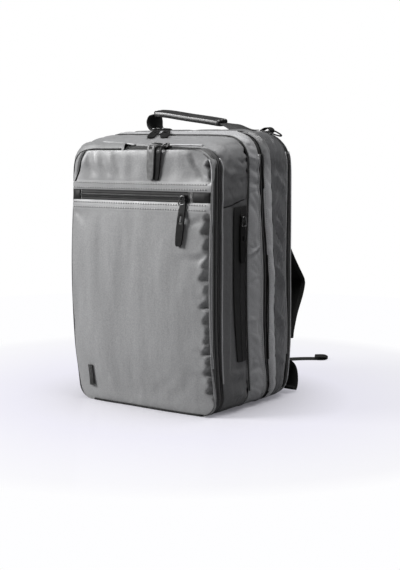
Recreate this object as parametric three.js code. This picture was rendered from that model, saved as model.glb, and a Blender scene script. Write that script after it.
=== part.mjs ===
// Convertible backpack standing on its base.
// Millimetres, +Z up. The front faces -Y, +X is the viewer's right, and the origin is the middle of the base.
import * as THREE from "three";

// The bag without its handle and straps.
const WIDTH = 282;
const DEPTH = 224;
const HEIGHT = 444;

// Thicknesses of the materials, and the space left between pieces.
const CLOTH = 2;
const PADDED_CLOTH = 3;
const TAPE = 1.4;
const WEBBING = 1.6;
const PULL = 2;
const GAP = 0.3;
const SEAM_FOLD = 1;

// The soft shape: how far the sides belly out and the front and back pillow.
const BELLY = 0.009 * WIDTH;
const PILLOW = 0.01 * DEPTH;
const PILLOW_EDGE = 0.05 * WIDTH;
const FRONT_BULGE = 0.01 * DEPTH;
const BACK_BULGE = 0.02 * DEPTH;

// How far the top slumps at its left edge, front to back. y is a share of DEPTH and fall of HEIGHT.
const SLUMPS = [
  { y: -0.5, fall: 0.026 },
  { y: -0.41, fall: 0.005 },
  { y: -0.1, fall: 0.009 },
  { y: 0.05, fall: 0.025 },
  { y: 0.6, fall: 0.026 },
];
const SLUMP_FROM = 0.42 * HEIGHT;

// The seams that run round the bag, from front to back.
// The y columns are shares of DEPTH at the four heights in SEAM_HEIGHTS. half is a share of WIDTH and rise of HEIGHT.
const SEAMS = {
  panelEdge: { yFoot: -0.462, yLow: -0.503, yMid: -0.526, yTop: -0.497, half: 0.485, rise: 0.949 },
  frontZipBack: { yFoot: -0.365, yLow: -0.408, yMid: -0.428, yTop: -0.4, half: 0.487, rise: 0.956 },
  piping: { yFoot: -0.055, yLow: -0.088, yMid: -0.122, yTop: -0.085, half: 0.49, rise: 0.981 },
  mainZipFront: { yFoot: 0.155, yLow: 0.105, yMid: 0.08, yTop: 0.031, half: 0.5, rise: 0.998 },
  mainZipBack: { yFoot: 0.205, yLow: 0.168, yMid: 0.155, yTop: 0.085, half: 0.5, rise: 0.998 },
  foldBack: { yFoot: 0.27, yLow: 0.25, yMid: 0.225, yTop: 0.185, half: 0.503, rise: 0.994 },
  rearZipFront: { yFoot: 0.39, yLow: 0.432, yMid: 0.395, yTop: 0.42, half: 0.498, rise: 0.986 },
  rearZipBack: { yFoot: 0.46, yLow: 0.49, yMid: 0.477, yTop: 0.48, half: 0.49, rise: 0.982 },
  back: { yFoot: 0.485, yLow: 0.52, yMid: 0.5, yTop: 0.505, half: 0.475, rise: 0.972 },
};
// Radii of the corners of each seam, as shares of WIDTH: the top right, the top left and the two at the foot.
const CORNERS = {
  panelEdge: { right: 0.108, left: 0.108, foot: 0.09 },
  frontZipBack: { right: 0.115, left: 0.065, foot: 0.095 },
  piping: { right: 0.135, left: 0.07, foot: 0.1 },
  mainZipFront: { right: 0.145, left: 0.085, foot: 0.105 },
  mainZipBack: { right: 0.15, left: 0.09, foot: 0.105 },
  foldBack: { right: 0.155, left: 0.1, foot: 0.105 },
  rearZipFront: { right: 0.16, left: 0.13, foot: 0.105 },
  rearZipBack: { right: 0.16, left: 0.14, foot: 0.105 },
  back: { right: 0.16, left: 0.16, foot: 0.1 },
};
Object.entries(CORNERS).forEach(([name, corners]) => Object.assign(SEAMS[name], corners));
const SEAM_HEIGHTS = { yFoot: 0.06, yLow: 0.2, yMid: 0.5, yTop: 0.9 };

// Steps along the parts of an outline: half the base, a foot corner, a side, a crown corner and the top.
const STEPS = { base: 3, foot: 5, side: 8, crown: 5, top: 6 };
const FOOT_END = STEPS.base + STEPS.foot;
const TOP_START = FOOT_END + STEPS.side + STEPS.crown;
const LEFT_FOOT = TOP_START + STEPS.top + STEPS.crown + STEPS.side;
const ROUND = LEFT_FOOT + STEPS.foot + STEPS.base;

// Sections of the bands between two seams. across is the share of the way back over the band, and raise is how far
// it stands out, in cloth thicknesses.
const PLAIN_BAND = [
  { across: 0, raise: 0 },
  { across: 0.5, raise: 1.1 },
  { across: 1, raise: 0 },
];
const BOX_BAND = [
  { across: 0, raise: 0 },
  { across: 0.22, raise: 1.1 },
  { across: 0.8, raise: 1.1 },
  { across: 1, raise: 0 },
];
const FOLD_BAND = [
  { across: 0, raise: -0.2 },
  { across: 0.3, raise: 1.7 },
  { across: 0.7, raise: 1.9 },
  { across: 1, raise: -0.2 },
];
const HINGE_BAND = [
  { across: 0, raise: 0 },
  { across: 0.3, raise: 3.4 },
  { across: 0.6, raise: 3 },
  { across: 1, raise: 0 },
];
const ZIP_BAND = [
  { across: 0, raise: -0.9 },
  { across: 0.38, raise: -0.9 },
  { across: 0.5, raise: -0.1 },
  { across: 0.62, raise: -0.9 },
  { across: 1, raise: -0.9 },
];

// Drape folds of the front panel. Each runs from (x, z) to (toX, toZ), shares of WIDTH and HEIGHT, is spread over a
// share of WIDTH, and lifts a share of DEPTH. A negative lift is a dent.
const FRONT_FOLDS = [
  { x: -0.4, z: 0.9, toX: 0.02, toZ: 0.83, spread: 0.05, lift: 0.016 },
  { x: -0.45, z: 0.86, toX: -0.1, toZ: 0.84, spread: 0.035, lift: -0.016 },
  { x: 0.43, z: 0.93, toX: 0.25, toZ: 0.84, spread: 0.05, lift: -0.02 },
  { x: 0.47, z: 0.6, toX: 0.28, toZ: 0.5, spread: 0.06, lift: -0.014 },
  { x: 0.47, z: 0.3, toX: 0.25, toZ: 0.36, spread: 0.06, lift: -0.014 },
  { x: -0.3, z: 0.02, toX: -0.2, toZ: 0.3, spread: 0.07, lift: 0.012 },
  { x: 0.12, z: 0.02, toX: 0.16, toZ: 0.28, spread: 0.07, lift: 0.012 },
];

// The slit zip over the front panel.
const SLIT = { z: 0.783 * HEIGHT, tall: 0.04 * HEIGHT, deep: 0.01 * DEPTH, reach: 0.945 };
const COLUMNS = [-1, -SLIT.reach, -0.8, -0.5, -0.2, 0.2, 0.5, 0.8, SLIT.reach, 1];

const HALF_TURN = Math.PI;
const QUARTER = Math.PI / 2;
const part = new THREE.Group();
const vec = (x, y, z) => new THREE.Vector3(x, y, z);
const lerp = THREE.MathUtils.lerp;
const smooth = (value, from, to) => {
  const share = THREE.MathUtils.clamp((value - from) / (to - from), 0, 1);
  return share * share * (3 - 2 * share);
};

// Adds a piece made from corner points and triangles, turned to face outwards.
function addPiece(name, points, triangles) {
  let volume = 0;
  for (const [a, b, c] of triangles) {
    volume += points[a].dot(points[b].clone().cross(points[c]));
  }
  const order = volume < 0 ? ([a, b, c]) => [a, c, b] : (corners) => corners;
  const geometry = new THREE.BufferGeometry();
  geometry.setAttribute("position", new THREE.Float32BufferAttribute(points.flatMap((p) => p.toArray()), 3));
  geometry.setIndex(triangles.flatMap(order));
  geometry.computeVertexNormals();
  const mesh = new THREE.Mesh(geometry);
  mesh.name = name;
  part.add(mesh);
}

// Quads between two rows of point numbers, as triangles. A ring also joins its last point to its first.
function bridge(first, second, ring) {
  const triangles = [];
  const count = ring ? first.length : first.length - 1;
  for (let i = 0; i < count; i++) {
    const next = (i + 1) % first.length;
    triangles.push([first[i], first[next], second[next]], [first[i], second[next], second[i]]);
  }
  return triangles;
}

// Numbers the points of each row in one list.
function numberRows(rows) {
  const points = rows.flat();
  let start = 0;
  const numbers = rows.map((row) => {
    const line = row.map((_, i) => start + i);
    start += row.length;
    return line;
  });
  return { points, numbers };
}

// A closed tube whose section passes through the rows. The rows are rings, or lines whose ends are capped.
function addTube(name, rows, ring) {
  const { points, numbers } = numberRows(rows);
  const triangles = numbers.flatMap((row, i) => bridge(row, numbers[(i + 1) % numbers.length], ring));
  const capEnd = (at, flip) => {
    let low = 0;
    let high = numbers.length - 1;
    while (high - low > 1) {
      const fan = [[numbers[low][at], numbers[low + 1][at], numbers[high][at]]];
      low += 1;
      if (high - low > 1) {
        fan.push([numbers[low][at], numbers[high - 1][at], numbers[high][at]]);
        high -= 1;
      }
      triangles.push(...fan.map(([a, b, c]) => (flip ? [a, c, b] : [a, b, c])));
    }
  };
  if (!ring) {
    capEnd(0, false);
    capEnd(numbers[0].length - 1, true);
  }
  addPiece(name, points, triangles);
}

// A cup whose skin passes through rings, closed at both ends on a middle point.
function addCup(name, rings, firstMiddle, lastMiddle) {
  const { points, numbers } = numberRows(rings);
  const triangles = numbers.slice(1).flatMap((row, i) => bridge(numbers[i], row, true));
  const fan = (row, middle, flip) => {
    const at = points.push(middle) - 1;
    row.forEach((number, i) => {
      const next = row[(i + 1) % row.length];
      triangles.push(flip ? [at, next, number] : [at, number, next]);
    });
  };
  fan(numbers[0], firstMiddle, true);
  fan(numbers[numbers.length - 1], lastMiddle, false);
  addPiece(name, points, triangles);
}

// A plate over a grid of cells. place(u, v, side) gives a corner on side 0 or 1, and isHole(i, j) leaves a cell out.
function addPlate(name, alongs, acrosses, place, isHole = () => false) {
  const columns = acrosses.length;
  const points = [];
  for (const side of [0, 1]) {
    for (const u of alongs) {
      points.push(...acrosses.map((v) => place(u, v, side)));
    }
  }
  const corner = (i, j, side) => (side * alongs.length + i) * columns + j;
  const there = (i, j) => i >= 0 && j >= 0 && i < alongs.length - 1 && j < columns - 1 && !isHole(i, j);
  const triangles = [];
  const quad = (a, b, c, d) => triangles.push([a, b, c], [a, c, d]);
  for (let i = 0; i < alongs.length - 1; i++) {
    for (let j = 0; j < columns - 1; j++) {
      if (!there(i, j)) continue;
      quad(corner(i, j, 0), corner(i + 1, j, 0), corner(i + 1, j + 1, 0), corner(i, j + 1, 0));
      quad(corner(i, j, 1), corner(i, j + 1, 1), corner(i + 1, j + 1, 1), corner(i + 1, j, 1));
      if (!there(i - 1, j)) quad(corner(i, j, 0), corner(i, j + 1, 0), corner(i, j + 1, 1), corner(i, j, 1));
      if (!there(i + 1, j)) {
        quad(corner(i + 1, j, 0), corner(i + 1, j, 1), corner(i + 1, j + 1, 1), corner(i + 1, j + 1, 0));
      }
      if (!there(i, j - 1)) quad(corner(i, j, 0), corner(i, j, 1), corner(i + 1, j, 1), corner(i + 1, j, 0));
      if (!there(i, j + 1)) {
        quad(corner(i, j + 1, 0), corner(i + 1, j + 1, 0), corner(i + 1, j + 1, 1), corner(i, j + 1, 1));
      }
    }
  }
  const used = [...new Set(triangles.flat())];
  const renumber = new Map(used.map((number, i) => [number, i]));
  addPiece(name, used.map((number) => points[number]), triangles.map((corners) => corners.map((n) => renumber.get(n))));
}

// Depth of a seam at a height: a smooth curve through its four y columns, level above and below them.
function seamDepth(seam, z) {
  const stops = Object.entries(SEAM_HEIGHTS).map(([column, share]) => ({ z: share * HEIGHT, y: seam[column] * DEPTH }));
  const last = stops.length - 1;
  if (z <= stops[0].z) return stops[0].y;
  if (z >= stops[last].z) return stops[last].y;
  const i = stops.findIndex((stop) => stop.z > z) - 1;
  const slope = (k) =>
    k === 0 || k === last ? 0 : (stops[k + 1].y - stops[k - 1].y) / (stops[k + 1].z - stops[k - 1].z);
  const span = stops[i + 1].z - stops[i].z;
  const t = (z - stops[i].z) / span;
  const rise = t * t * (3 - 2 * t);
  const bendStart = t * (1 - t) * (1 - t) * span * slope(i);
  const bendEnd = t * t * (t - 1) * span * slope(i + 1);
  return lerp(stops[i].y, stops[i + 1].y, rise) + bendStart + bendEnd;
}

// The outline of a seam seen from the front, with the outward direction at each point.
function outline(seam) {
  const half = seam.half * WIDTH;
  const top = seam.rise * HEIGHT;
  const right = seam.right * WIDTH;
  const left = seam.left * WIDTH;
  const foot = seam.foot * WIDTH;
  const points = [];
  const line = (from, to, out, steps) => {
    for (let i = 0; i < steps; i++) {
      points.push({ x: lerp(from[0], to[0], i / steps), z: lerp(from[1], to[1], i / steps), nx: out[0], nz: out[1] });
    }
  };
  const arc = (x, z, radius, start, steps) => {
    for (let i = 0; i < steps; i++) {
      const nx = Math.cos(start + (i / steps) * QUARTER);
      const nz = Math.sin(start + (i / steps) * QUARTER);
      points.push({ x: x + radius * nx, z: z + radius * nz, nx, nz });
    }
  };
  line([0, 0], [half - foot, 0], [0, -1], STEPS.base);
  arc(half - foot, foot, foot, -QUARTER, STEPS.foot);
  line([half, foot], [half, top - right], [1, 0], STEPS.side);
  arc(half - right, top - right, right, 0, STEPS.crown);
  line([half - right, top], [left - half, top], [0, 1], STEPS.top);
  arc(left - half, top - left, left, QUARTER, STEPS.crown);
  line([-half, top - left], [-half, foot], [-1, 0], STEPS.side);
  arc(foot - half, foot, foot, HALF_TURN, STEPS.foot);
  line([foot - half, 0], [0, 0], [0, -1], STEPS.base);
  return points;
}

const belly = (seam, z) => BELLY * Math.sin(HALF_TURN * THREE.MathUtils.clamp(z / (seam.rise * HEIGHT), 0, 1));

// Lets a point down by the slump of the top.
function drape(point) {
  const y = THREE.MathUtils.clamp(point.y / DEPTH, SLUMPS[0].y, SLUMPS.at(-1).y);
  const next = SLUMPS.findIndex((row, i) => i > 0 && row.y >= y);
  const [front, back] = [SLUMPS[next - 1], SLUMPS[next]];
  const fall = lerp(front.fall, back.fall, (y - front.y) / (back.y - front.y)) * HEIGHT;
  const leftness = Math.max(0, 0.5 - point.x / WIDTH);
  point.z -= fall * leftness * smooth(point.z, SLUMP_FROM, HEIGHT);
  return point;
}

// A point of a seam, moved back by shift, out by raise and in by a wall. Nothing is raised below the flat base.
function seamPoint(seam, p, shift, raise, wall) {
  const down = (p.nz < 0 ? Math.min(raise, 0) : raise) - wall;
  return vec(p.x + p.nx * (raise - wall + belly(seam, p.z)), seamDepth(seam, p.z) + shift, p.z + p.nz * down);
}

// A ring of a band, at a share of the way from one seam to the next.
function bandRing(front, back, row, wall) {
  const far = outline(back);
  return outline(front).map((p, i) => {
    const near = seamPoint(front, p, GAP / 2, row.raise * CLOTH, wall);
    return drape(near.lerp(seamPoint(back, far[i], -GAP / 2, row.raise * CLOTH, wall), row.across));
  });
}

// Rings on the outside of a band and back along its inside.
function bandRings(front, back, section, wall) {
  const outside = section.map((row) => bandRing(front, back, row, 0));
  const inside = section.map((row) => bandRing(front, back, row, wall)).reverse();
  return [...outside, ...inside];
}

// The stretch of each ring from one point to another, kept half a gap short of both.
function cutRings(rings, from, to) {
  return rings.map((ring) => {
    const line = [];
    for (let i = from; i <= to; i++) line.push(ring[i % ROUND].clone());
    const shorten = (end, next) => end.lerp(next, GAP / 2 / end.distanceTo(next));
    shorten(line[0], line[1]);
    shorten(line[line.length - 1], line[line.length - 2]);
    return line;
  });
}

// A band closed at its front by a wall across the bag.
function addWalledBand(name, front, back, section) {
  const wallRing = (share, set) => {
    const middle = (front.rise * HEIGHT) / 2;
    return outline(front).map((p) => {
      const z = middle + (p.z - middle) * share;
      const x = (p.x + p.nx * belly(front, p.z)) * share;
      return drape(vec(x, seamDepth(front, z) + set, z));
    });
  };
  const inset = 1 - (2 * CLOTH) / WIDTH;
  const set = GAP / 2 + CLOTH / 2;
  const wallOutside = [wallRing(0.55, set), wallRing(inset * inset, set)];
  const wallInside = [wallRing(inset * inset * inset, set + CLOTH), wallRing(0.55, set + CLOTH)];
  const middle = (y) => vec(0, y, (front.rise * HEIGHT) / 2);
  const depth = seamDepth(front, (front.rise * HEIGHT) / 2) + set;
  const band = bandRings(front, back, section, CLOTH).slice(0, -1);
  addCup(name, [...wallOutside, ...band, ...wallInside], middle(depth), middle(depth + CLOTH));
}

// Half width of a seam's outline at a height.
function halfAt(seam, z) {
  const top = seam.rise * HEIGHT;
  const crown = seam.right * WIDTH;
  const foot = seam.foot * WIDTH;
  const below = THREE.MathUtils.clamp(foot - z, 0, foot);
  const above = THREE.MathUtils.clamp(z - (top - crown), 0, crown);
  const cut = foot - Math.sqrt(foot * foot - below * below) + crown - Math.sqrt(crown * crown - above * above);
  const sideways = Math.sqrt(1 - (below / foot) ** 2) * Math.sqrt(1 - (above / crown) ** 2);
  return seam.half * WIDTH - cut + belly(seam, z) * sideways;
}

// Heights of the rows of a panel: close at the round corners, even between them, with extra rows put in.
function panelHeights(seam, sideSteps, extra) {
  const top = seam.rise * HEIGHT;
  const crown = seam.right * WIDTH;
  const foot = seam.foot * WIDTH;
  const heights = [];
  for (let i = 0; i < STEPS.foot; i++) heights.push(foot * (1 - Math.cos((i / STEPS.foot) * QUARTER)));
  for (let i = 0; i <= sideSteps; i++) heights.push(lerp(foot, top - crown, i / sideSteps));
  for (let i = 1; i <= STEPS.crown; i++) heights.push(top - crown + crown * Math.sin((i / STEPS.crown) * QUARTER));
  const apart = SLIT.tall / 2;
  const kept = heights.filter((z) => extra.every((added) => Math.abs(z - added) > apart));
  return [...kept, ...extra].sort((a, b) => a - b);
}

// How full the padding is at a point: nothing at the edge, rising over a narrow border.
function fullness(seam, x, z) {
  const toEdge = Math.min(halfAt(seam, z) - Math.abs(x), z, seam.rise * HEIGHT - z);
  return 1 - (1 - THREE.MathUtils.clamp(toEdge / PILLOW_EDGE, 0, 1)) ** 2;
}

// A wide swell that is full in the middle of a panel and ends at its edges.
function swell(seam, x, z) {
  const upright = Math.sin(HALF_TURN * THREE.MathUtils.clamp(z / (seam.rise * HEIGHT), 0, 1));
  return Math.cos(QUARTER * Math.min(1, Math.abs(x) / (seam.half * WIDTH))) * upright;
}

function foldLift(x, z) {
  return FRONT_FOLDS.reduce((sum, fold) => {
    const start = new THREE.Vector2(fold.x * WIDTH, fold.z * HEIGHT);
    const run = new THREE.Vector2(fold.toX * WIDTH, fold.toZ * HEIGHT).sub(start);
    const at = new THREE.Vector2(x, z).sub(start);
    const along = THREE.MathUtils.clamp(at.dot(run) / run.lengthSq(), 0, 1);
    const away = at.sub(run.multiplyScalar(along)).length() / (fold.spread * WIDTH);
    return sum + fold.lift * DEPTH * Math.exp(-away * away) * (1 - along * along);
  }, 0);
}

// The slit zip lies in a shallow trough.
function trough(z) {
  return SLIT.deep * (1 - smooth(Math.abs(z - SLIT.z), SLIT.tall / 2, SLIT.tall / 2 + SLIT.deep));
}

// The outer face of the front panel, and of the back panel.
function frontFace(x, z) {
  const seam = SEAMS.panelEdge;
  const full = fullness(seam, x, z);
  const flat = smooth(Math.abs(z - SLIT.z), 0.6 * SLIT.tall, 1.6 * SLIT.tall);
  const raised = PILLOW * full + FRONT_BULGE * swell(seam, x, z) + foldLift(x, z) * full * flat;
  const sunk = trough(z) * Math.min(1, 2 * full);
  return seamDepth(seam, z) - GAP / 2 - SEAM_FOLD - PADDED_CLOTH - Math.max(0, raised) + sunk;
}

function backFace(x, z) {
  const seam = SEAMS.back;
  return seamDepth(seam, z) + PILLOW * fullness(seam, x, z) + BACK_BULGE * swell(seam, x, z);
}

function addPanel(name, seam, heights, columns, outer, inner) {
  addPlate(name, heights, columns, (z, share, side) => {
    const x = share * halfAt(seam, z);
    return drape(vec(x, side ? inner(x, z) : outer(x, z), z));
  });
}

// Front panel and the bands behind it, from front to back.
const slitRows = [-1, 1].flatMap((end) => {
  const edge = SLIT.z + (end * SLIT.tall) / 2;
  return [edge, edge + end * SLIT.deep];
});
addPanel("front_panel", SEAMS.panelEdge, panelHeights(SEAMS.panelEdge, 13, slitRows), COLUMNS, frontFace,
  (x, z) => frontFace(x, z) + PADDED_CLOTH);

const zipOutside = (front, back) => ZIP_BAND.map((row) => bandRing(front, back, row, 0));
const zipInside = (front, back) => [ZIP_BAND.at(-1), ZIP_BAND[0]].map((row) => bandRing(front, back, row, TAPE));
const frontZipRings = bandRings(SEAMS.panelEdge, SEAMS.frontZipBack, ZIP_BAND, TAPE);
const hingeRings = bandRings(SEAMS.panelEdge, SEAMS.frontZipBack, HINGE_BAND, CLOTH);
const HINGE_START = TOP_START + 4;
const HINGE_END = LEFT_FOOT + STEPS.foot;
addTube("front_pocket_zip", cutRings(frontZipRings, HINGE_END, ROUND + HINGE_START), false);
addTube("front_pocket_hinge", cutRings(hingeRings, HINGE_START, HINGE_END), false);

addWalledBand("front_body", SEAMS.frontZipBack, SEAMS.piping, BOX_BAND);

// The piping is a cord along its seam, from one foot over the top to the other.
const PIPING = { radius: 1.5, out: 2, sides: 5 };
const pipingOutline = outline(SEAMS.piping).slice(FOOT_END, LEFT_FOOT + 1);
const pipingRows = Array.from({ length: PIPING.sides }, (_, k) => {
  const turn = (k / PIPING.sides) * 2 * HALF_TURN;
  const shift = PIPING.radius * Math.cos(turn);
  const offset = PIPING.out + PIPING.radius * Math.sin(turn);
  return pipingOutline.map((p) => drape(seamPoint(SEAMS.piping, p, shift, offset, 0)));
});
addTube("piping", pipingRows, false);

addTube("gusset_strip", bandRings(SEAMS.piping, SEAMS.mainZipFront, PLAIN_BAND, CLOTH), true);
const mainZip = [SEAMS.mainZipFront, SEAMS.mainZipBack];
addTube("main_zip", [...zipOutside(...mainZip), ...zipInside(...mainZip)], true);
addTube("fold_strip", bandRings(SEAMS.mainZipBack, SEAMS.foldBack, FOLD_BAND, CLOTH), true);
addWalledBand("rear_body", SEAMS.foldBack, SEAMS.rearZipFront, PLAIN_BAND);
const rearZip = [SEAMS.rearZipFront, SEAMS.rearZipBack];
addTube("rear_zip", [...zipOutside(...rearZip), ...zipInside(...rearZip)], true);
const BACK_COLUMNS = [-1, -0.92, -0.6, -0.2, 0.2, 0.6, 0.92, 1];
addPanel("back_panel", SEAMS.back, panelHeights(SEAMS.back, 7, []), BACK_COLUMNS, backFace,
  (x, z) => seamDepth(SEAMS.rearZipBack, z) + GAP / 2);

// Tape of the slit zip with its coil along the middle. Each row is a share of the tape's height and its thickness.
const COIL = 1;
const SLIT_ROWS = [
  { tall: -0.46, thick: TAPE },
  { tall: -0.14, thick: TAPE },
  { tall: 0, thick: TAPE + COIL },
  { tall: 0.14, thick: TAPE },
  { tall: 0.46, thick: TAPE },
];
const slitLine = (row, thick) =>
  COLUMNS.slice(1, -1).map((share) => {
    const z = SLIT.z + row.tall * SLIT.tall;
    const x = share * halfAt(SEAMS.panelEdge, z);
    return drape(vec(x, frontFace(x, z) - GAP - thick, z));
  });
addTube("slit_zip", [
  ...SLIT_ROWS.map((row) => slitLine(row, row.thick)),
  ...SLIT_ROWS.map((row) => slitLine(row, 0)).reverse(),
], false);

// Side pocket zip on the right of the front body: how far its two edges lie back, as shares of DEPTH.
const SIDE_ZIP = [
  { z: 0.183, front: -0.225, back: -0.115 },
  { z: 0.3, front: -0.262, back: -0.13 },
  { z: 0.42, front: -0.288, back: -0.142 },
  { z: 0.55, front: -0.287, back: -0.142 },
  { z: 0.65, front: -0.285, back: -0.135 },
  { z: 0.742, front: -0.281, back: -0.122 },
];
function sideFace(z, y) {
  const front = SEAMS.frontZipBack;
  const back = SEAMS.piping;
  const across = (y - seamDepth(front, z)) / (seamDepth(back, z) - seamDepth(front, z));
  const half = lerp(front.half * WIDTH + belly(front, z), back.half * WIDTH + belly(back, z), across);
  const end = BOX_BAND.findIndex((row) => row.across > across);
  const before = BOX_BAND[end - 1];
  const share = (across - before.across) / (BOX_BAND[end].across - before.across);
  return half + lerp(before.raise, BOX_BAND[end].raise, share) * CLOTH;
}
const sideLine = (across, thick) =>
  SIDE_ZIP.map((row) => {
    const z = row.z * HEIGHT;
    const y = lerp(row.front, row.back, across) * DEPTH;
    return drape(vec(sideFace(z, y) + 2 * GAP + thick, y, z));
  });
const SIDE_ROWS = [
  { across: 0, thick: TAPE },
  { across: 0.4, thick: TAPE },
  { across: 0.5, thick: TAPE + COIL },
  { across: 0.6, thick: TAPE },
  { across: 1, thick: TAPE },
];
addTube("side_zip", [
  ...SIDE_ROWS.map((row) => sideLine(row.across, row.thick)),
  ...SIDE_ROWS.map((row) => sideLine(row.across, 0)).reverse(),
], false);

// Height of the top of the bag over a point of its plan, in the level stretch between the crown corners.
function topAt(x, y) {
  const seams = Object.values(SEAMS);
  const behind = seams.findIndex((seam) => seam.yTop * DEPTH > y);
  const front = seams[behind - 1];
  const back = seams[behind];
  const across = (y / DEPTH - front.yTop) / (back.yTop - front.yTop);
  return drape(vec(x, y, lerp(front.rise, back.rise, across) * HEIGHT)).z;
}

// Zip sliders: a low body with a bridge, seen from the side. along and out are shares of the slider's length, and
// wide is a share of its width.
const SLIDER = { length: 12, width: 9 };
const PULL_START = SLIDER.length / 2 + GAP;
const PULL_BESIDE = SLIDER.width / 2 + GAP;
const SLIDER_SIDE = [
  { along: -0.5, out: 0, wide: 0.7 },
  { along: -0.5, out: 0.14, wide: 0.7 },
  { along: -0.26, out: 0.2, wide: 0.8 },
  { along: -0.2, out: 0.36, wide: 0.45 },
  { along: 0.2, out: 0.36, wide: 0.45 },
  { along: 0.26, out: 0.2, wide: 1 },
  { along: 0.5, out: 0.14, wide: 1 },
  { along: 0.5, out: 0, wide: 1 },
];
// Pulls: along is a share of the length from the slider end, wide a share of the width. The slot lies between the
// rows marked with it.
const PULL_ROWS = [
  { along: 0, wide: 0.5 },
  { along: 0.04, wide: 0.8 },
  { along: 0.34, wide: 0.9, slot: true },
  { along: 0.47, wide: 1 },
  { along: 0.75, wide: 1 },
  { along: 0.95, wide: 0.9 },
  { along: 1, wide: 0.6 },
];
const PULL_WIDTH = 14;
const SLOT_SHARE = 0.42;

// A slider at a point, with the directions of its run and of its outer side.
function addSlider(name, at, run, out) {
  const side = run.clone().cross(out).normalize();
  const rows = SLIDER_SIDE.map((row) =>
    [-1, 1].map((end) =>
      at
        .clone()
        .addScaledVector(run, row.along * SLIDER.length)
        .addScaledVector(out, row.out * SLIDER.length)
        .addScaledVector(side, (end * row.wide * SLIDER.width) / 2),
    ),
  );
  addTube(name, rows, false);
}

// A pull laid along a path. surface(share) gives its middle line, and out the side that faces away from the cloth.
function addPull(name, middle, side, out) {
  const alongs = PULL_ROWS.map((_, i) => i);
  addPlate(name, alongs, [-1, -SLOT_SHARE, SLOT_SHARE, 1], (i, v, face) => {
    const row = PULL_ROWS[i];
    return middle(row.along)
      .clone()
      .addScaledVector(side, (v * row.wide * PULL_WIDTH) / 2)
      .addScaledVector(out, face * PULL);
  }, (i, j) => j === 1 && PULL_ROWS[i].slot === true);
}

const FORWARD = vec(0, -1, 0);
const RIGHT = vec(1, 0, 0);
const UP = vec(0, 0, 1);

// Slit zip: the slider on the coil and the pull hanging down the panel.
const slitAt = { x: 0.315 * WIDTH, pull: 0.163 * HEIGHT };
const slitFront = frontFace(slitAt.x, SLIT.z) - GAP - TAPE - COIL - GAP;
addSlider("slit_zip_slider", drape(vec(slitAt.x, slitFront, SLIT.z)), RIGHT, FORWARD);
addPull("slit_zip_pull", (share) => {
  const z = SLIT.z - PULL_BESIDE - share * slitAt.pull;
  const x = slitAt.x - share * 0.025 * WIDTH;
  const lift = lerp(1.6 * PULL, 0.6 * PULL, share);
  return drape(vec(x, frontFace(x, z) - lift, z));
}, RIGHT, FORWARD);

// Front pocket: two sliders on top, and their pulls that fall over the front edge, the left one over the right one.
// x and toX are shares of WIDTH, drop is a share of HEIGHT, and layer counts pull thicknesses off the panel.
const POCKET_PULLS = [
  { side: "left", x: 0.102, toX: 0.09, drop: 0.112, layer: 2.7 },
  { side: "right", x: 0.15, toX: 0.122, drop: 0.114, layer: 1.4 },
];
const pocketY = -0.45 * DEPTH;
for (const pull of POCKET_PULLS) {
  const x = pull.x * WIDTH;
  const top = topAt(x, pocketY);
  const front = frontFace(x, SLIT.z + 2 * SLIT.tall) - pull.layer * PULL;
  addSlider("front_pocket_slider_" + pull.side, vec(x, pocketY, top + GAP), RIGHT, UP);
  const path = new THREE.CatmullRomCurve3([
    vec(x, pocketY - PULL_BESIDE, top + pull.layer * PULL - 1),
    vec(lerp(x, pull.toX * WIDTH, 0.2), front + 1, top + pull.layer * PULL - PULL / 2),
    vec(lerp(x, pull.toX * WIDTH, 0.6), front - PULL / 2, top - (pull.drop * HEIGHT) / 3),
    vec(pull.toX * WIDTH, front, top - pull.drop * HEIGHT),
  ], false, "centripetal");
  addPlate("front_pocket_pull_" + pull.side, PULL_ROWS.map((_, i) => i), [-1, -SLOT_SHARE, SLOT_SHARE, 1],
    (i, v, face) => {
      const row = PULL_ROWS[i];
      const out = RIGHT.clone().cross(path.getTangent(row.along)).normalize();
      const at = path.getPoint(row.along).addScaledVector(RIGHT, (v * row.wide * PULL_WIDTH) / 2);
      return at.addScaledVector(out, face * PULL);
    }, (i, j) => j === 1 && PULL_ROWS[i].slot === true);
}

// Main zip: two sliders side by side on the crest, with pulls that lie forward down the top.
const MAIN_PULLS = [
  { side: "left", x: -0.212, toX: -0.068, toY: -0.285 },
  { side: "right", x: -0.145, toX: 0.02, toY: -0.27 },
];
const crestY = ((SEAMS.mainZipFront.yTop + SEAMS.mainZipBack.yTop) / 2) * DEPTH;
for (const pull of MAIN_PULLS) {
  const start = vec(pull.x * WIDTH, crestY, 0);
  const end = vec(pull.toX * WIDTH, pull.toY * DEPTH, 0);
  const run = end.clone().sub(start).normalize();
  const side = run.clone().cross(UP);
  addSlider("main_zip_slider_" + pull.side, vec(start.x, start.y, topAt(start.x, start.y) + GAP), RIGHT, UP);
  addPull("main_zip_pull_" + pull.side, (share) => {
    const at = start.clone().addScaledVector(run, PULL_START).lerp(end, share);
    at.z = topAt(at.x, at.y) + 2.2 * CLOTH;
    return at;
  }, side, UP);
}

// Side pocket: the slider on its coil near the top, and the pull hanging down.
const sideAt = { y: -0.2 * DEPTH, z: 0.7 * HEIGHT, pull: 0.145 * HEIGHT };
const sideX = (z) => sideFace(z, sideAt.y) + 3 * GAP + TAPE + COIL;
addSlider("side_zip_slider", vec(sideX(sideAt.z), sideAt.y, sideAt.z), UP, RIGHT);
addPull("side_zip_pull", (share) => {
  const z = sideAt.z - PULL_START - share * sideAt.pull;
  return vec(sideX(z) + lerp(GAP, 2 * GAP, share), sideAt.y, z);
}, FORWARD, RIGHT);

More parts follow.
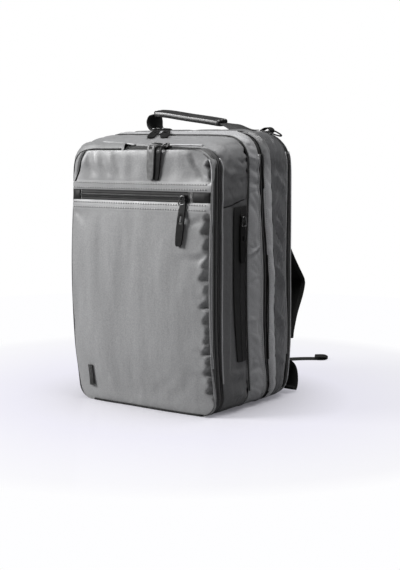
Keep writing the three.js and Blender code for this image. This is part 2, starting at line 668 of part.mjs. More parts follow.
// Rear zip: its slider and pull hang on the left side.
const rearAt = { z: 0.72 * HEIGHT, pull: 0.13 * HEIGHT };
const rearY = (z) => (seamDepth(SEAMS.rearZipFront, z) + seamDepth(SEAMS.rearZipBack, z)) / 2;
const rearX = (z) => -(halfAt(SEAMS.rearZipFront, z) + halfAt(SEAMS.rearZipBack, z)) / 2;
const LEFT = vec(-1, 0, 0);
addSlider("rear_zip_slider", vec(rearX(rearAt.z) - 2 * GAP, rearY(rearAt.z), rearAt.z), UP, LEFT);
addPull("rear_zip_pull", (share) => {
  const z = rearAt.z - PULL_START - share * rearAt.pull;
  return vec(rearX(z) - 3 * GAP, rearY(z), z);
}, FORWARD, LEFT);

// A plain tab low on the left of the front panel.
const TAB = { x: -0.372 * WIDTH, z: 0.097 * HEIGHT, wide: 0.032 * WIDTH, tall: 0.08 * HEIGHT, thick: 1.4 };
addPlate("plain_tab", [-0.5, -0.2, 0.2, 0.5], [-0.5, 0, 0.5], (u, v, side) => {
  const z = TAB.z + u * TAB.tall;
  const x = TAB.x + v * TAB.wide;
  return vec(x, frontFace(x, z) - 3 * GAP - side * TAB.thick, z);
});

// A ribbon along a smooth path through stops. Each stop has its place and the direction of the ribbon's width.
// The section lists points as shares of half the width and half the thickness. A stop may narrow the ribbon.
const FLAT_SECTION = [[-1, -1], [1, -1], [1, 1], [-1, 1]];
function addRibbon(name, stops, steps, width, thickness, section) {
  const path = new THREE.CatmullRomCurve3(stops.map((stop) => stop.at), false, "centripetal");
  const stations = Array.from({ length: steps + 1 }, (_, i) => {
    const place = (i / steps) * (stops.length - 1);
    const from = stops[Math.min(Math.floor(place), stops.length - 2)];
    const to = stops[stops.indexOf(from) + 1];
    const share = place - stops.indexOf(from);
    const run = path.getTangent(i / steps);
    const across = from.across.clone().lerp(to.across, share);
    across.addScaledVector(run, -across.dot(run)).normalize();
    const half = (width / 2) * lerp(from.narrow ?? 1, to.narrow ?? 1, share);
    return { at: path.getPoint(i / steps), across, half, out: run.clone().cross(across) };
  });
  const rows = section.map(([wide, thick]) =>
    stations.map((station) =>
      station.at
        .clone()
        .addScaledVector(station.across, wide * station.half)
        .addScaledVector(station.out, (thick * thickness) / 2),
    ),
  );
  addTube(name, rows, false);
  return stations;
}

// Top handle: webbing sewn flat at both ends, which bows out on the left. The grip gathers it to less than its width.
const HANDLE = { y: 0.293 * DEPTH, width: 34, sit: 1.5 * CLOTH + WEBBING / 2 + GAP };
const sewn = (x, lift) => ({ x, z: topAt(x * WIDTH, HANDLE.y) + HANDLE.sit + lift, narrow: 1, turn: 0, tilt: 0 });
const GATHERED = 21 / HANDLE.width;
const HANDLE_LINE = [
  sewn(-0.26, 0),
  sewn(-0.33, 0.4),
  { x: -0.374, z: 0.993 * HEIGHT, narrow: 1, turn: 0.25, tilt: 0 },
  { x: -0.383, z: 1.017 * HEIGHT, narrow: 1, turn: 0.35, tilt: 0 },
  { x: -0.375, z: 1.037 * HEIGHT, narrow: 0.95, turn: 0.2, tilt: 0 },
  { x: -0.352, z: 1.046 * HEIGHT, narrow: GATHERED, turn: 0, tilt: 0 },
  { x: -0.12, z: 1.0335 * HEIGHT, narrow: GATHERED, turn: 0, tilt: 0 },
  { x: 0.118, z: 1.0178 * HEIGHT, narrow: GATHERED, turn: 0, tilt: 0 },
  { x: 0.2, z: 1.0062 * HEIGHT, narrow: 1, turn: 0, tilt: 0.2 },
  sewn(0.285, 0.6),
  sewn(0.335, 0),
];
const handleStops = HANDLE_LINE.map((stop) => ({
  at: vec(stop.x * WIDTH, HANDLE.y, stop.z),
  across: vec(stop.turn, 1, stop.tilt),
  narrow: stop.narrow,
}));
addRibbon("handle_webbing", handleStops, 30, HANDLE.width, WEBBING, FLAT_SECTION);

// The grip is a ribbed leather sleeve. Each row has a point of its outside and one of the hole for the webbing.
const GRIP_SECTION = [
  { wide: -13.6, tall: -1, holeWide: -11.6, holeTall: 0 },
  { wide: -12, tall: -4.8, holeWide: -11.6, holeTall: -1.7 },
  { wide: 0, tall: -5.4, holeWide: 0, holeTall: -1.7 },
  { wide: 11.5, tall: -4.6, holeWide: 11.6, holeTall: -1.7 },
  { wide: 13.6, tall: 0, holeWide: 11.6, holeTall: 0 },
  { wide: 12.5, tall: 5.4, holeWide: 11.6, holeTall: 1.7 },
  { wide: 8.5, tall: 7.4, holeWide: 8, holeTall: 1.7 },
  { wide: 4, tall: 5.6, holeWide: 4, holeTall: 1.7 },
  { wide: -0.5, tall: 6.8, holeWide: 0, holeTall: 1.7 },
  { wide: -5, tall: 5, holeWide: -4, holeTall: 1.7 },
  { wide: -9.5, tall: 6, holeWide: -8, holeTall: 1.7 },
  { wide: -13, tall: 3.6, holeWide: -11.6, holeTall: 1.7 },
];
const GRIP = { from: 0.5, to: 0.7, steps: 6 };
const handlePath = new THREE.CatmullRomCurve3(handleStops.map((stop) => stop.at), false, "centripetal");
const gripRing = (share, wide, tall) => {
  const at = handlePath.getPoint(share);
  const up = handlePath.getTangent(share).cross(vec(0, 1, 0));
  return GRIP_SECTION.map((row) => at.clone().addScaledVector(up, row[tall]).add(vec(0, row[wide], 0)));
};
const gripShares = Array.from({ length: GRIP.steps + 1 }, (_, i) => lerp(GRIP.from, GRIP.to, i / GRIP.steps));
addTube("handle_grip", [
  ...gripShares.map((share) => gripRing(share, "wide", "tall")),
  ...gripShares.map((share) => gripRing(share, "holeWide", "holeTall")).reverse(),
], true);

// D-rings on the shoulders, each held in a folded tab that slopes down and outwards.
const RING = { y: 0.421 * DEPTH, x: 0.325 * WIDTH, slope: 0.36, wire: 1.6, bar: 2.6, reach: 20, tall: 11, points: 16, sides: 6 };
const TAB_LOOP = { width: 15, radius: RING.wire + 1.1 + WEBBING / 2, length: 17 };
for (const [side, sign] of [["left", -1], ["right", 1]]) {
  const sewnAt = vec(sign * RING.x, RING.y, topAt(sign * RING.x, RING.y) + 1.2 * CLOTH);
  const base = sewnAt.clone().addScaledVector(UP, 2.4 * CLOTH + TAB_LOOP.radius);
  const along = vec(sign * Math.cos(RING.slope), 0, -Math.sin(RING.slope));
  const up = vec(sign * Math.sin(RING.slope), 0, Math.cos(RING.slope));
  const place = (u, w) => base.clone().addScaledVector(along, u).addScaledVector(up, w);
  const bend = (turn) => {
    const out = TAB_LOOP.radius * Math.cos(turn);
    return { at: place(TAB_LOOP.length + out, TAB_LOOP.radius * Math.sin(turn)), across: vec(0, 1, 0) };
  };
  addRibbon("ring_tab_" + side, [
    { at: sewnAt, across: vec(0, 1, 0) },
    { at: place(TAB_LOOP.length * 0.6, -TAB_LOOP.radius), across: vec(0, 1, 0) },
    bend(-QUARTER),
    bend(-QUARTER / 2),
    bend(0),
    bend(QUARTER / 2),
    bend(QUARTER),
    { at: place(TAB_LOOP.length * 0.6, TAB_LOOP.radius), across: vec(0, 1, 0) },
    { at: sewnAt.clone().addScaledVector(UP, WEBBING + 2 * GAP), across: vec(0, 1, 0) },
  ], 14, TAB_LOOP.width, WEBBING, FLAT_SECTION);
  const ringRows = Array.from({ length: RING.sides }, (_, k) => {
    const turn = (k / RING.sides) * 2 * HALF_TURN;
    const grow = RING.wire * Math.cos(turn);
    return Array.from({ length: RING.points }, (_, i) => {
      const angle = (i / RING.points) * 2 * HALF_TURN;
      const reach = (Math.cos(angle) > 0 ? RING.reach : RING.bar) + grow;
      const point = place(TAB_LOOP.length + RING.bar + reach * Math.cos(angle), RING.wire * Math.sin(turn));
      point.y += (RING.tall + grow) * Math.sin(angle);
      return point;
    });
  });
  addTube("d_ring_" + side, ringRows, true);
}

// Back: the patch that anchors the shoulder straps.
const ANCHOR = { half: 0.3 * WIDTH, low: 0.86 * HEIGHT, high: 0.93 * HEIGHT };
addPlate("strap_anchor", [-1, -0.6, -0.2, 0.2, 0.6, 1], [ANCHOR.low, ANCHOR.high], (u, z, side) => {
  const x = u * ANCHOR.half;
  return drape(vec(x, backFace(x, z) + 3 * GAP + side * CLOTH, z));
});

// Middle line of the right shoulder strap, which bows out behind the bag. x is a share of WIDTH, y of DEPTH and z of
// HEIGHT. The left strap mirrors it.
const STRAP = { width: 58, thickness: 9 };
const STRAP_LINE = [
  { x: 0.17, y: 0.554, z: 0.905 },
  { x: 0.21, y: 0.555, z: 0.82 },
  { x: 0.26, y: 0.564, z: 0.72 },
  { x: 0.295, y: 0.58, z: 0.625 },
  { x: 0.315, y: 0.64, z: 0.553 },
  { x: 0.323, y: 0.74, z: 0.477 },
  { x: 0.327, y: 0.833, z: 0.412 },
  { x: 0.332, y: 0.81, z: 0.372 },
  { x: 0.342, y: 0.7, z: 0.295 },
  { x: 0.355, y: 0.62, z: 0.228 },
  { x: 0.362, y: 0.598, z: 0.199 },
];
const PADDED_SECTION = [[-1, 0], [-0.86, -0.9], [0.86, -0.9], [1, 0], [0.86, 0.9], [-0.86, 0.9]];

// Ladder lock below each strap: a frame with two slots, flat behind the back panel.
const LOCK = { x: 0.362 * WIDTH, y: 0.568 * DEPTH, top: 0.194 * HEIGHT, half: 18, slotHalf: 14, thick: 4 };
const LOCK_ROWS = [0, 5, 12, 16, 23, 28];

// Lower webbing of one side: from the lower corner up to the ladder lock, through its lower slot, and down again.
// x, y and z are shares of WIDTH, DEPTH and HEIGHT on the right side, and the left one mirrors them. lean tips the
// webbing's width. THREADED is in millimetres from the top middle of the lock, and down is downwards.
const RISING = [
  { x: 0.45, y: 0.574, z: 0.0191, lean: 0 },
  { x: 0.45, y: 0.594, z: 0.009, lean: 0 },
  { x: 0.45, y: 0.616, z: 0.027, lean: 0.1 },
  { x: 0.44, y: 0.636, z: 0.0631, lean: 0.25 },
  { x: 0.422, y: 0.641, z: 0.0923, lean: 0.3 },
  { x: 0.397, y: 0.609, z: 0.1104, lean: 0.3 },
];
const THREADED = [
  { x: 2.9, y: -0.2, down: 33.1, lean: 0.1 },
  { x: 0.3, y: -1.6, down: 27.1, lean: 0 },
  { x: -0.1, y: -1.2, down: 20.1, lean: 0 },
  { x: -0.1, y: 2, down: 17.3, lean: 0 },
  { x: -0.1, y: 5.4, down: 19.3, lean: 0 },
  { x: -1.6, y: 11.3, down: 28.1, lean: 0 },
];
const FALLING = [
  { x: 0.344, y: 0.656, z: 0.1059, lean: -0.1 },
  { x: 0.326, y: 0.679, z: 0.0631, lean: -0.1 },
];
const LAID = 0.4 + WEBBING / 2;
// Tails on the floor, with x and y as shares and z in millimetres.
const TAILS = {
  right: [
    { x: 0.3085, y: 0.7054, z: 11 },
    { x: 0.2801, y: 0.7366, z: 2.5 },
    { x: 0.2057, y: 0.7812, z: LAID },
    { x: 0.078, y: 0.8348, z: LAID },
    { x: -0.0426, y: 0.8616, z: LAID },
    { x: -0.1348, y: 0.8616, z: LAID },
  ],
  left: [
    { x: -0.3191, y: 0.7143, z: 11 },
    { x: -0.305, y: 0.7634, z: 2.5 },
    { x: -0.2766, y: 0.875, z: LAID },
    { x: -0.227, y: 1.125, z: LAID },
    { x: -0.1525, y: 1.4107, z: LAID },
    { x: -0.0638, y: 1.6071, z: LAID },
    { x: 0.0142, y: 1.7098, z: LAID },
    { x: 0.078, y: 1.7634, z: LAID },
    { x: 0.1206, y: 1.7946, z: LAID },
    { x: 0.1383, y: 1.808, z: 4 },
    { x: 0.1206, y: 1.7946, z: 6.8 },
    { x: 0.0638, y: 1.7545, z: 6.4 },
  ],
};
const STRIP_WIDTH = 24;
for (const [side, sign] of [["left", -1], ["right", 1]]) {
  const strapStops = STRAP_LINE.map((stop) => ({
    at: vec(sign * stop.x * WIDTH, stop.y * DEPTH, stop.z * HEIGHT),
    across: RIGHT,
  }));
  addRibbon("shoulder_strap_" + side, strapStops, 22, STRAP.width, STRAP.thickness, PADDED_SECTION);
  addPlate("ladder_lock_" + side, LOCK_ROWS, [-LOCK.half, -LOCK.slotHalf, LOCK.slotHalf, LOCK.half],
    (down, v, face) => vec(sign * LOCK.x + v, LOCK.y + face * LOCK.thick, LOCK.top - down),
    (i, j) => j === 1 && i % 2 === 1);
  const stopAt = (x, y, z, lean) => ({
    at: vec(sign * x, y, z),
    across: vec(Math.cos(lean), 0, sign * Math.sin(lean)),
  });
  const byShares = (p) => stopAt(p.x * WIDTH, p.y * DEPTH, p.z * HEIGHT, p.lean);
  const threaded = THREADED.map((p) => stopAt(LOCK.x + p.x, LOCK.y + p.y, LOCK.top - p.down, p.lean));
  const tail = TAILS[side].map((p) => vec(p.x * WIDTH, p.y * DEPTH, p.z));
  const laid = tail.map((at, i) => {
    const run = tail[Math.min(i + 1, tail.length - 1)].clone().sub(tail[Math.max(i - 1, 0)]);
    return { at, across: i === 0 ? RIGHT : vec(run.y, -run.x, 0).normalize() };
  });
  const folded = laid.findIndex((stop) => stop.at.z > LAID && stop.at.y > 0.5 * (DEPTH + tail.at(-1).y));
  laid.slice(folded > 0 ? folded : laid.length).forEach((stop) => stop.across.copy(laid[folded - 1].across));
  const stops = [...RISING.map(byShares), ...threaded, ...FALLING.map(byShares), ...laid];
  addRibbon("lower_webbing_" + side, stops, 2 * (stops.length - 1), STRIP_WIDTH, WEBBING, FLAT_SECTION);
  const tabFrom = vec(sign * 0.443 * WIDTH, backFace(0.4 * WIDTH, 15) + GAP, 13);
  const tabTo = vec(sign * 0.452 * WIDTH, 0.567 * DEPTH, 9.5);
  addPlate("lower_tab_" + side, [0, 0.5, 1], [-1, 1], (share, v, face) =>
    tabFrom.clone().lerp(tabTo, share).add(vec(v * lerp(10, STRIP_WIDTH / 2, share), 0, face * CLOTH)));
}

export default part;
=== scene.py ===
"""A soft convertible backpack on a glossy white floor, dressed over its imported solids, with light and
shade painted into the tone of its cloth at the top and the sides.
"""

import math

import bmesh
import bpy
import numpy as np
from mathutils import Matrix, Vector, noise
from mathutils.bvhtree import BVHTree


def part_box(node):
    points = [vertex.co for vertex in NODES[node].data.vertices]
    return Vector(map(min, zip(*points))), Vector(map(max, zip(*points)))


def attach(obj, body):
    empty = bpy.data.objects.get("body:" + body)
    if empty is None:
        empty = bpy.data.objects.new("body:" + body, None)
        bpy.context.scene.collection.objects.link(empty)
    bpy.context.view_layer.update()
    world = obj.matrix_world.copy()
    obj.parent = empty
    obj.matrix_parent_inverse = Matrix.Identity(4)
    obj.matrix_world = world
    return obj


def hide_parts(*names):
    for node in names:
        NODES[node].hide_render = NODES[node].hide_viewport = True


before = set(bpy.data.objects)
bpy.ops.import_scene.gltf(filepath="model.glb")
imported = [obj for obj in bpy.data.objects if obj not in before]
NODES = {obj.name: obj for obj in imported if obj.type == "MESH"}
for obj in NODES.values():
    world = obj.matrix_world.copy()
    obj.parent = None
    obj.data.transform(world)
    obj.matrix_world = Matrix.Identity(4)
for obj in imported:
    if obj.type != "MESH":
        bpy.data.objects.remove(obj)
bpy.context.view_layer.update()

MM = 0.001
WIDTH, DEPTH, HEIGHT = 0.282, 0.224, 0.444
RIGHT = Vector((1, 0, 0))
BACKWARD = Vector((0, 1, 0))
FORWARD = Vector((0, -1, 0))
UP = Vector((0, 0, 1))
# Rays that look for the bag's surface start this far from its middle.
AWAY = 0.3

# The camera comes first, since the rest is judged through it.
AZIMUTH, ELEVATION = math.radians(35.4), math.radians(8.54)
TARGET = Vector((0.03346, 0, 0.1902))
DISTANCE = 2.46156
BACK = Vector((
    math.sin(AZIMUTH) * math.cos(ELEVATION),
    -math.cos(AZIMUTH) * math.cos(ELEVATION),
    math.sin(ELEVATION),
))
lens = bpy.data.cameras.new("camera")
lens.lens = 94.74
lens.sensor_width = 36
camera = bpy.data.objects.new("camera", lens)
camera.location = TARGET + BACK * DISTANCE
camera.rotation_euler = BACK.to_track_quat("Z", "Y").to_euler()
bpy.context.scene.collection.objects.link(camera)
bpy.context.scene.camera = camera


# Shaders. Each material is a small tree on object coordinates, which are metres of the whole model.
class Shader:
    def __init__(self, name):
        self.material = bpy.data.materials.new(name)
        self.material.use_nodes = True
        self.tree = self.material.node_tree
        self.tree.nodes.clear()
        self.out = self.add("ShaderNodeOutputMaterial")
        self.body = self.add("ShaderNodeBsdfPrincipled")
        self.link(self.body.outputs[0], self.out.inputs[0])
        self.place = self.add("ShaderNodeTexCoord").outputs["Object"]

    def add(self, kind, **settings):
        node = self.tree.nodes.new(kind)
        for key, value in settings.items():
            if hasattr(node, key):
                setattr(node, key, value)
            else:
                node.inputs[key.replace("_", " ").title()].default_value = value
        return node

    def link(self, start, end):
        self.tree.links.new(start, end)

    def joined(self, kind, *values, **settings):
        """The output of a node whose first inputs are linked to sockets or set to values."""
        node = self.add(kind, **settings)
        for value, socket in zip(values, node.inputs):
            if isinstance(value, bpy.types.NodeSocket):
                self.link(value, socket)
            else:
                socket.default_value = value
        return node.outputs[0]

    def scaled(self, size):
        mapping = self.add("ShaderNodeMapping")
        mapping.inputs["Scale"].default_value = size
        self.link(self.place, mapping.inputs["Vector"])
        return mapping.outputs[0]

    def noise(self, scale, detail=2.0, stretch=(1, 1, 1)):
        node = self.add("ShaderNodeTexNoise", scale=scale, detail=detail)
        self.link(self.scaled(stretch), node.inputs["Vector"])
        return node.outputs[0]

    def cells(self, scale):
        node = self.add("ShaderNodeTexVoronoi", scale=scale)
        self.link(self.place, node.inputs["Vector"])
        return node.outputs["Distance"]

    def stripes(self, period, direction="DIAGONAL"):
        node = self.add("ShaderNodeTexWave", bands_direction=direction, scale=math.tau / 20 / period)
        self.link(self.place, node.inputs["Vector"])
        return node.outputs["Fac"]

    def blend(self, share, first, second, mode="MIX"):
        node = self.add("ShaderNodeMix", data_type="RGBA", blend_type=mode)
        self.link(share, node.inputs[0])
        for value, socket in ((first, node.inputs[6]), (second, node.inputs[7])):
            if isinstance(value, bpy.types.NodeSocket):
                self.link(value, socket)
            else:
                socket.default_value = (*value, 1)
        return node.outputs[2]

    def shades(self, share, tone, first, second, cool=0.0):
        """A blend of two shades of one tone."""
        return self.blend(share, grey(tone * first, cool), grey(tone * second, cool))

    def spread(self, value, low, high, to_low=0.0, to_high=1.0):
        return self.joined("ShaderNodeMapRange", value, low, high, to_low, to_high)

    def bump(self, *layers):
        normal = None
        for top_shading, strength, distance in layers:
            node = self.add("ShaderNodeBump", strength=strength, distance=distance)
            self.link(top_shading, node.inputs["Height"])
            if normal is not None:
                self.link(normal, node.inputs["Normal"])
            normal = node.outputs[0]
        self.link(normal, self.body.inputs["Normal"])

    def dress(self, colour, roughness, **numbers):
        self.link(colour, self.body.inputs["Base Color"])
        self.link(roughness, self.body.inputs["Roughness"])
        for key, value in numbers.items():
            self.body.inputs[key.replace("_", " ")].default_value = value


def grey(value, cool=0.0):
    return (value * (1 - cool), value * (1 - 0.6 * cool), value * (1 + cool))


# Heights between which the second tone of the bag's top takes over: painted light and shade that draws the
# top lighter or darker than the sides.
TOP_SHADING_FROM, TOP_SHADING_TO = 0.36, 0.432


def nylon(name, tone, rough, cool=0.008, top=None):
    """Satin nylon twill: a fine diagonal weave, slow upright streaks and small crinkles. Above a given
    height the cloth can take a second tone, painted light and shade that draws the top lighter or darker
    than the sides."""
    look = Shader(name)
    streaks = look.spread(look.noise(1, 3, (55, 55, 5)), 0.3, 0.7)
    colour = look.shades(streaks, tone, 0.93, 1.06, cool)
    # Painted light and shade: above a height the top's own tone takes over.
    if top is not None:
        axes = look.add("ShaderNodeSeparateXYZ")
        look.link(look.place, axes.inputs[0])
        top_shading = look.spread(axes.outputs["Z"], TOP_SHADING_FROM, TOP_SHADING_TO)
        colour = look.blend(top_shading, colour, look.shades(streaks, top, 0.93, 1.06, cool))
    grain = look.spread(look.noise(480, 2), 0.35, 0.65, 0, 0.5)
    colour = look.blend(grain, colour, grey(0.7), "MULTIPLY")
    gloss = look.spread(look.noise(1, 2, (80, 80, 20)), 0.3, 0.7, rough - 0.07, rough + 0.08)
    look.dress(colour, gloss, Sheen_Weight=0.12, Sheen_Roughness=0.4, Specular_IOR_Level=0.5)
    look.bump(
        (look.noise(1, 3, (130, 130, 60)), 0.3, 0.0016),
        (look.noise(520, 1), 0.3, 0.0005),
        (look.stripes(0.0012), 0.4, 0.00014),
    )
    return look.material


def tape(name, tone):
    """Zip tape: a matt ribbed weave."""
    look = Shader(name)
    colour = look.shades(look.spread(look.noise(900, 2), 0.3, 0.7), tone, 0.8, 1.25)
    look.dress(colour, look.spread(look.noise(60, 2), 0.3, 0.7, 0.5, 0.66), Specular_IOR_Level=0.25)
    look.bump((look.stripes(0.0014, "Z"), 0.35, 0.00015), (look.stripes(0.0009), 0.25, 0.0001))
    return look.material


def webbing(name, tone, direction="X"):
    """Woven webbing: a herringbone of coarse yarn."""
    look = Shader(name)
    yarn = look.stripes(0.0022, direction)
    colour = look.shades(look.spread(yarn, 0.2, 0.8), tone, 0.75, 1.2)
    colour = look.blend(look.spread(look.noise(30, 2), 0.3, 0.7, 0, 0.4), colour, grey(tone * 1.4))
    look.dress(colour, look.spread(look.noise(200, 2), 0.3, 0.7, 0.55, 0.72), Specular_IOR_Level=0.25)
    look.bump((yarn, 0.5, 0.0003), (look.stripes(0.0030), 0.4, 0.00025))
    return look.material


def leather(name, tone):
    """Smooth pebbled leather with slow wear in its gloss."""
    look = Shader(name)
    worn = look.spread(look.noise(60, 3), 0.35, 0.7)
    gloss = look.spread(worn, 0, 1, 0.28, 0.36)
    look.dress(look.shades(worn, tone, 0.85, 1.25), gloss, Specular_IOR_Level=0.7)
    look.bump((look.cells(900), 0.05, 0.0001), (look.noise(60, 2), 0.06, 0.0004))
    return look.material


def mesh_cloth(name, tone):
    """Spacer mesh: small open cells over padding."""
    look = Shader(name)
    holes = look.spread(look.cells(420), 0.15, 0.5)
    gloss = look.spread(look.noise(80, 2), 0.3, 0.7, 0.62, 0.8)
    look.dress(look.shades(holes, tone, 1.5, 0.45), gloss, Sheen_Weight=0.04, Specular_IOR_Level=0.2)
    look.bump((holes, -0.5, 0.0006), (look.noise(60, 2), 0.2, 0.001))
    return look.material


def moulded(name, tone, rough, metallic=0.0, specular=0.5):
    """Moulded rubber or plastic, or painted metal, with a fine skin and slight wear."""
    look = Shader(name)
    worn = look.spread(look.noise(220, 3), 0.4, 0.75)
    gloss = look.spread(worn, 0, 1, rough - 0.05, rough + 0.12)
    look.dress(look.shades(worn, tone, 0.85, 1.35), gloss, Metallic=metallic, Specular_IOR_Level=specular)
    look.bump((look.noise(500, 2), 0.12, 0.0002))
    return look.material


LIGHT = nylon("light_nylon", 0.31, 0.42)
HEM = nylon("hem_nylon", 0.36, 0.44)
HINGE = nylon("hinge_nylon", 0.22, 0.42)
# The fold strip's sides are far paler than its top: a painted highlight for the sheen the sides catch.
LIT_FOLD_NYLON = nylon("lit_fold_nylon", 0.62, 0.34, 0.012, 0.14)
TOP_GREY = nylon("grey_nylon", 0.38, 0.4, 0.015)
# The front body's sides are darker than its top: painted shade for the sides the light doesn't reach.
SHADED_SIDE_NYLON = nylon("shaded_side_nylon", 0.125, 0.45, 0.012, 0.25)
# The rear body's top is darker than its sides: painted shade.
REAR = nylon("rear_nylon", 0.17, 0.28, 0.02, 0.11)
# A paler cloth for the rolled edges: the edges are real, and their pale tone is a painted highlight along
# each one.
EDGE_HIGHLIGHT = nylon("edge_highlight_nylon", 0.5, 0.4, 0.01)
TAPE = tape("black_tape", 0.03)
POCKET_TAPE = tape("pocket_tape", 0.09)
SLIT_TAPE = tape("slit_tape", 0.04)
GARAGE = tape("garage_tape", 0.016)
DEEP_TAPE = tape("side_tape", 0.02)
# Near-black and paler copies of the tape: the first paints the shade in grooves, seams and gaps, and the
# second paints the highlight on ridges.
GROOVE_SHADE = tape("groove_shade", 0.006)
RIDGE_HIGHLIGHT = tape("ridge_highlight", 0.12)
TEETH = moulded("coil_teeth", 0.02, 0.4)
# The slit's teeth are paler than the others: a painted highlight along its coil.
COIL_HIGHLIGHT_TEETH = moulded("coil_highlight_teeth", 0.07, 0.4)
# A near-black cord: painted shadow in the gap of the hinge's seam.
SEAM_SHADE_CORD = tape("dark_cord", 0.018)
PIPING = tape("piping_tape", 0.06)
MESH = mesh_cloth("black_mesh", 0.034)
TAB = moulded("grey_tab", 0.012, 0.45)
HANDLE_WEBBING = webbing("grey_webbing", 0.035, "Y")
LEATHER = leather("black_leather", 0.025)
PADDING = mesh_cloth("black_padding", 0.008)
METAL = moulded("black_metal", 0.03, 0.35, 0.7)
BRIGHT_METAL = moulded("puller_metal", 0.16, 0.3, 0.9)
RUBBER = moulded("black_rubber", 0.008, 0.5, specular=0.2)
PULL_GREY = moulded("pull_grey", 0.16, 0.45)
STRAP = webbing("black_webbing", 0.012)
PLASTIC = moulded("black_plastic", 0.012, 0.42)
THREAD = moulded("light_thread", 0.8, 0.6)
DARK_THREAD = moulded("dark_thread", 0.03, 0.6)


# Meshes.
def add_piece(name, mesh, material, replaced=(), smooth=True):
    places = points_of(mesh)
    places[:, 2] = np.maximum(places[:, 2], 0)
    mesh.vertices.foreach_set("co", places.ravel())
    mesh.materials.clear()
    mesh.materials.append(material)
    if smooth:
        mesh.polygons.foreach_set("use_smooth", np.ones(len(mesh.polygons), bool))
    obj = bpy.data.objects.new(name, mesh)
    bpy.context.scene.collection.objects.link(obj)
    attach(obj, "root")
    if replaced:
        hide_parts(*replaced)
    return obj


# Cuts follow one another more closely from front to back, where the bands are narrow.
CUT_IN_DEPTH = 0.55


def refined(node, levels, crease=None, sharpness=0.8, cut=0.0):
    """A finer copy of a node's mesh: its triangles joined to quads, cut at even steps of x, y and z if a
    step is given, and subdivided, creased at edges sharper than an angle in degrees."""
    bm = bmesh.new()
    bm.from_mesh(NODES[node].data)
    bmesh.ops.remove_doubles(bm, verts=bm.verts, dist=2e-6)
    bmesh.ops.join_triangles(
        bm, faces=bm.faces, angle_face_threshold=math.radians(35), angle_shape_threshold=math.radians(70)
    )
    if cut:
        cuts = ((WIDTH / 2, cut, RIGHT), (DEPTH / 2, cut * CUT_IN_DEPTH, BACKWARD), (HEIGHT, cut, UP))
        for reach, step, way in cuts:
            for level in np.arange(0.0 if way is UP else -reach, reach, step):
                parts = bm.verts[:] + bm.edges[:] + bm.faces[:]
                at = way * (level + step / 2)
                bmesh.ops.bisect_plane(bm, geom=parts, dist=cut / 8, plane_co=at, plane_no=way)
    if crease is not None:
        layer = bm.edges.layers.float.new("crease_edge")
        for edge in bm.edges:
            if edge.is_manifold and edge.calc_face_angle() > math.radians(crease):
                edge[layer] = sharpness
    rough = bpy.data.meshes.new(node + "_rough")
    bm.to_mesh(rough)
    bm.free()
    holder = bpy.data.objects.new(node + "_rough", rough)
    bpy.context.scene.collection.objects.link(holder)
    rounding = holder.modifiers.new("rounding", "SUBSURF")
    rounding.levels = levels
    graph = bpy.context.evaluated_depsgraph_get()
    fine = bpy.data.meshes.new_from_object(holder.evaluated_get(graph))
    bpy.data.objects.remove(holder)
    bpy.data.meshes.remove(rough)
    return fine


def points_of(mesh):
    places = np.empty(len(mesh.vertices) * 3)
    mesh.vertices.foreach_get("co", places)
    return places.reshape(-1, 3)


def normals_of(mesh):
    ways = np.empty(len(mesh.vertices) * 3)
    mesh.vertex_normals.foreach_get("vector", ways)
    return ways.reshape(-1, 3)


def move(mesh, offsets):
    mesh.vertices.foreach_set("co", (points_of(mesh) + offsets).ravel())
    mesh.update()


def rough_noise(places, size, seed):
    """Smooth noise of about -1 to 1 on places, with a cell of size, which may differ by axis."""
    cells = places / np.array(size) + seed * 17.31
    return np.array([noise.noise(cell) for cell in cells])


def smooth(value, low, high):
    share = np.clip((value - low) / (high - low), 0, 1)
    return share * share * (3 - 2 * share)


def tree_of(mesh):
    bm = bmesh.new()
    bm.from_mesh(mesh)
    tree = BVHTree.FromBMesh(bm)
    bm.free()
    return tree


def built(name, places, faces, material, closed=False, smooth=True):
    """A new piece from its places and faces. The faces of a closed one are turned outwards."""
    mesh = bpy.data.meshes.new(name)
    mesh.from_pydata(places, [], faces)
    mesh.update()
    if closed:
        bm = bmesh.new()
        bm.from_mesh(mesh)
        bmesh.ops.recalc_face_normals(bm, faces=bm.faces)
        bm.to_mesh(mesh)
        bm.free()
    add_piece(name, mesh, material, smooth=smooth)


def grains(name, stops, size, material):
    """One mesh of small rounded grains, such as stitches or teeth, with their length, width and height in
    millimetres. Each stop is (place, along, normal)."""
    long, wide, high = (number * MM for number in size)
    places, faces = [], []
    for place, along, normal in stops:
        across = along.cross(normal).normalized()
        start = len(places)
        places += [place + along * long / 2, place - along * long / 2]
        for turn in range(4):
            angle = math.tau * turn / 4
            rim = across * (math.cos(angle) * wide / 2) + normal * (math.sin(angle) * high / 2)
            places.append(place + rim)
        for turn in range(4):
            after = (turn + 1) % 4
            faces.append((start, start + 2 + turn, start + 2 + after))
            faces.append((start + 1, start + 2 + after, start + 2 + turn))
    built(name, places, faces, material)


# The front panel. Distances in its tables are millimetres on the panel, x to the right and z up.
def along_line(x, z, line, wide):
    """How near each (x, z) is to a polyline, from 1 on it to 0, fading towards both its ends."""
    best = np.full(x.shape, 1e9)
    share = np.zeros(x.shape)
    legs = [math.dist(a, b) for a, b in zip(line, line[1:])]
    done = 0
    for (a, b), leg in zip(zip(line, line[1:]), legs):
        run = (b[0] - a[0], b[1] - a[1])
        t = np.clip(((x - a[0]) * run[0] + (z - a[1]) * run[1]) / (leg * leg), 0, 1)
        far = np.hypot(x - a[0] - t * run[0], z - a[1] - t * run[1])
        nearer = far < best
        best = np.where(nearer, far, best)
        share = np.where(nearer, (done + t * leg) / sum(legs), share)
        done += leg
    fade = np.sin(np.pi * np.clip(0.12 + 0.8 * share, 0, 1))
    return np.exp(-((best / wide) ** 2)) * fade


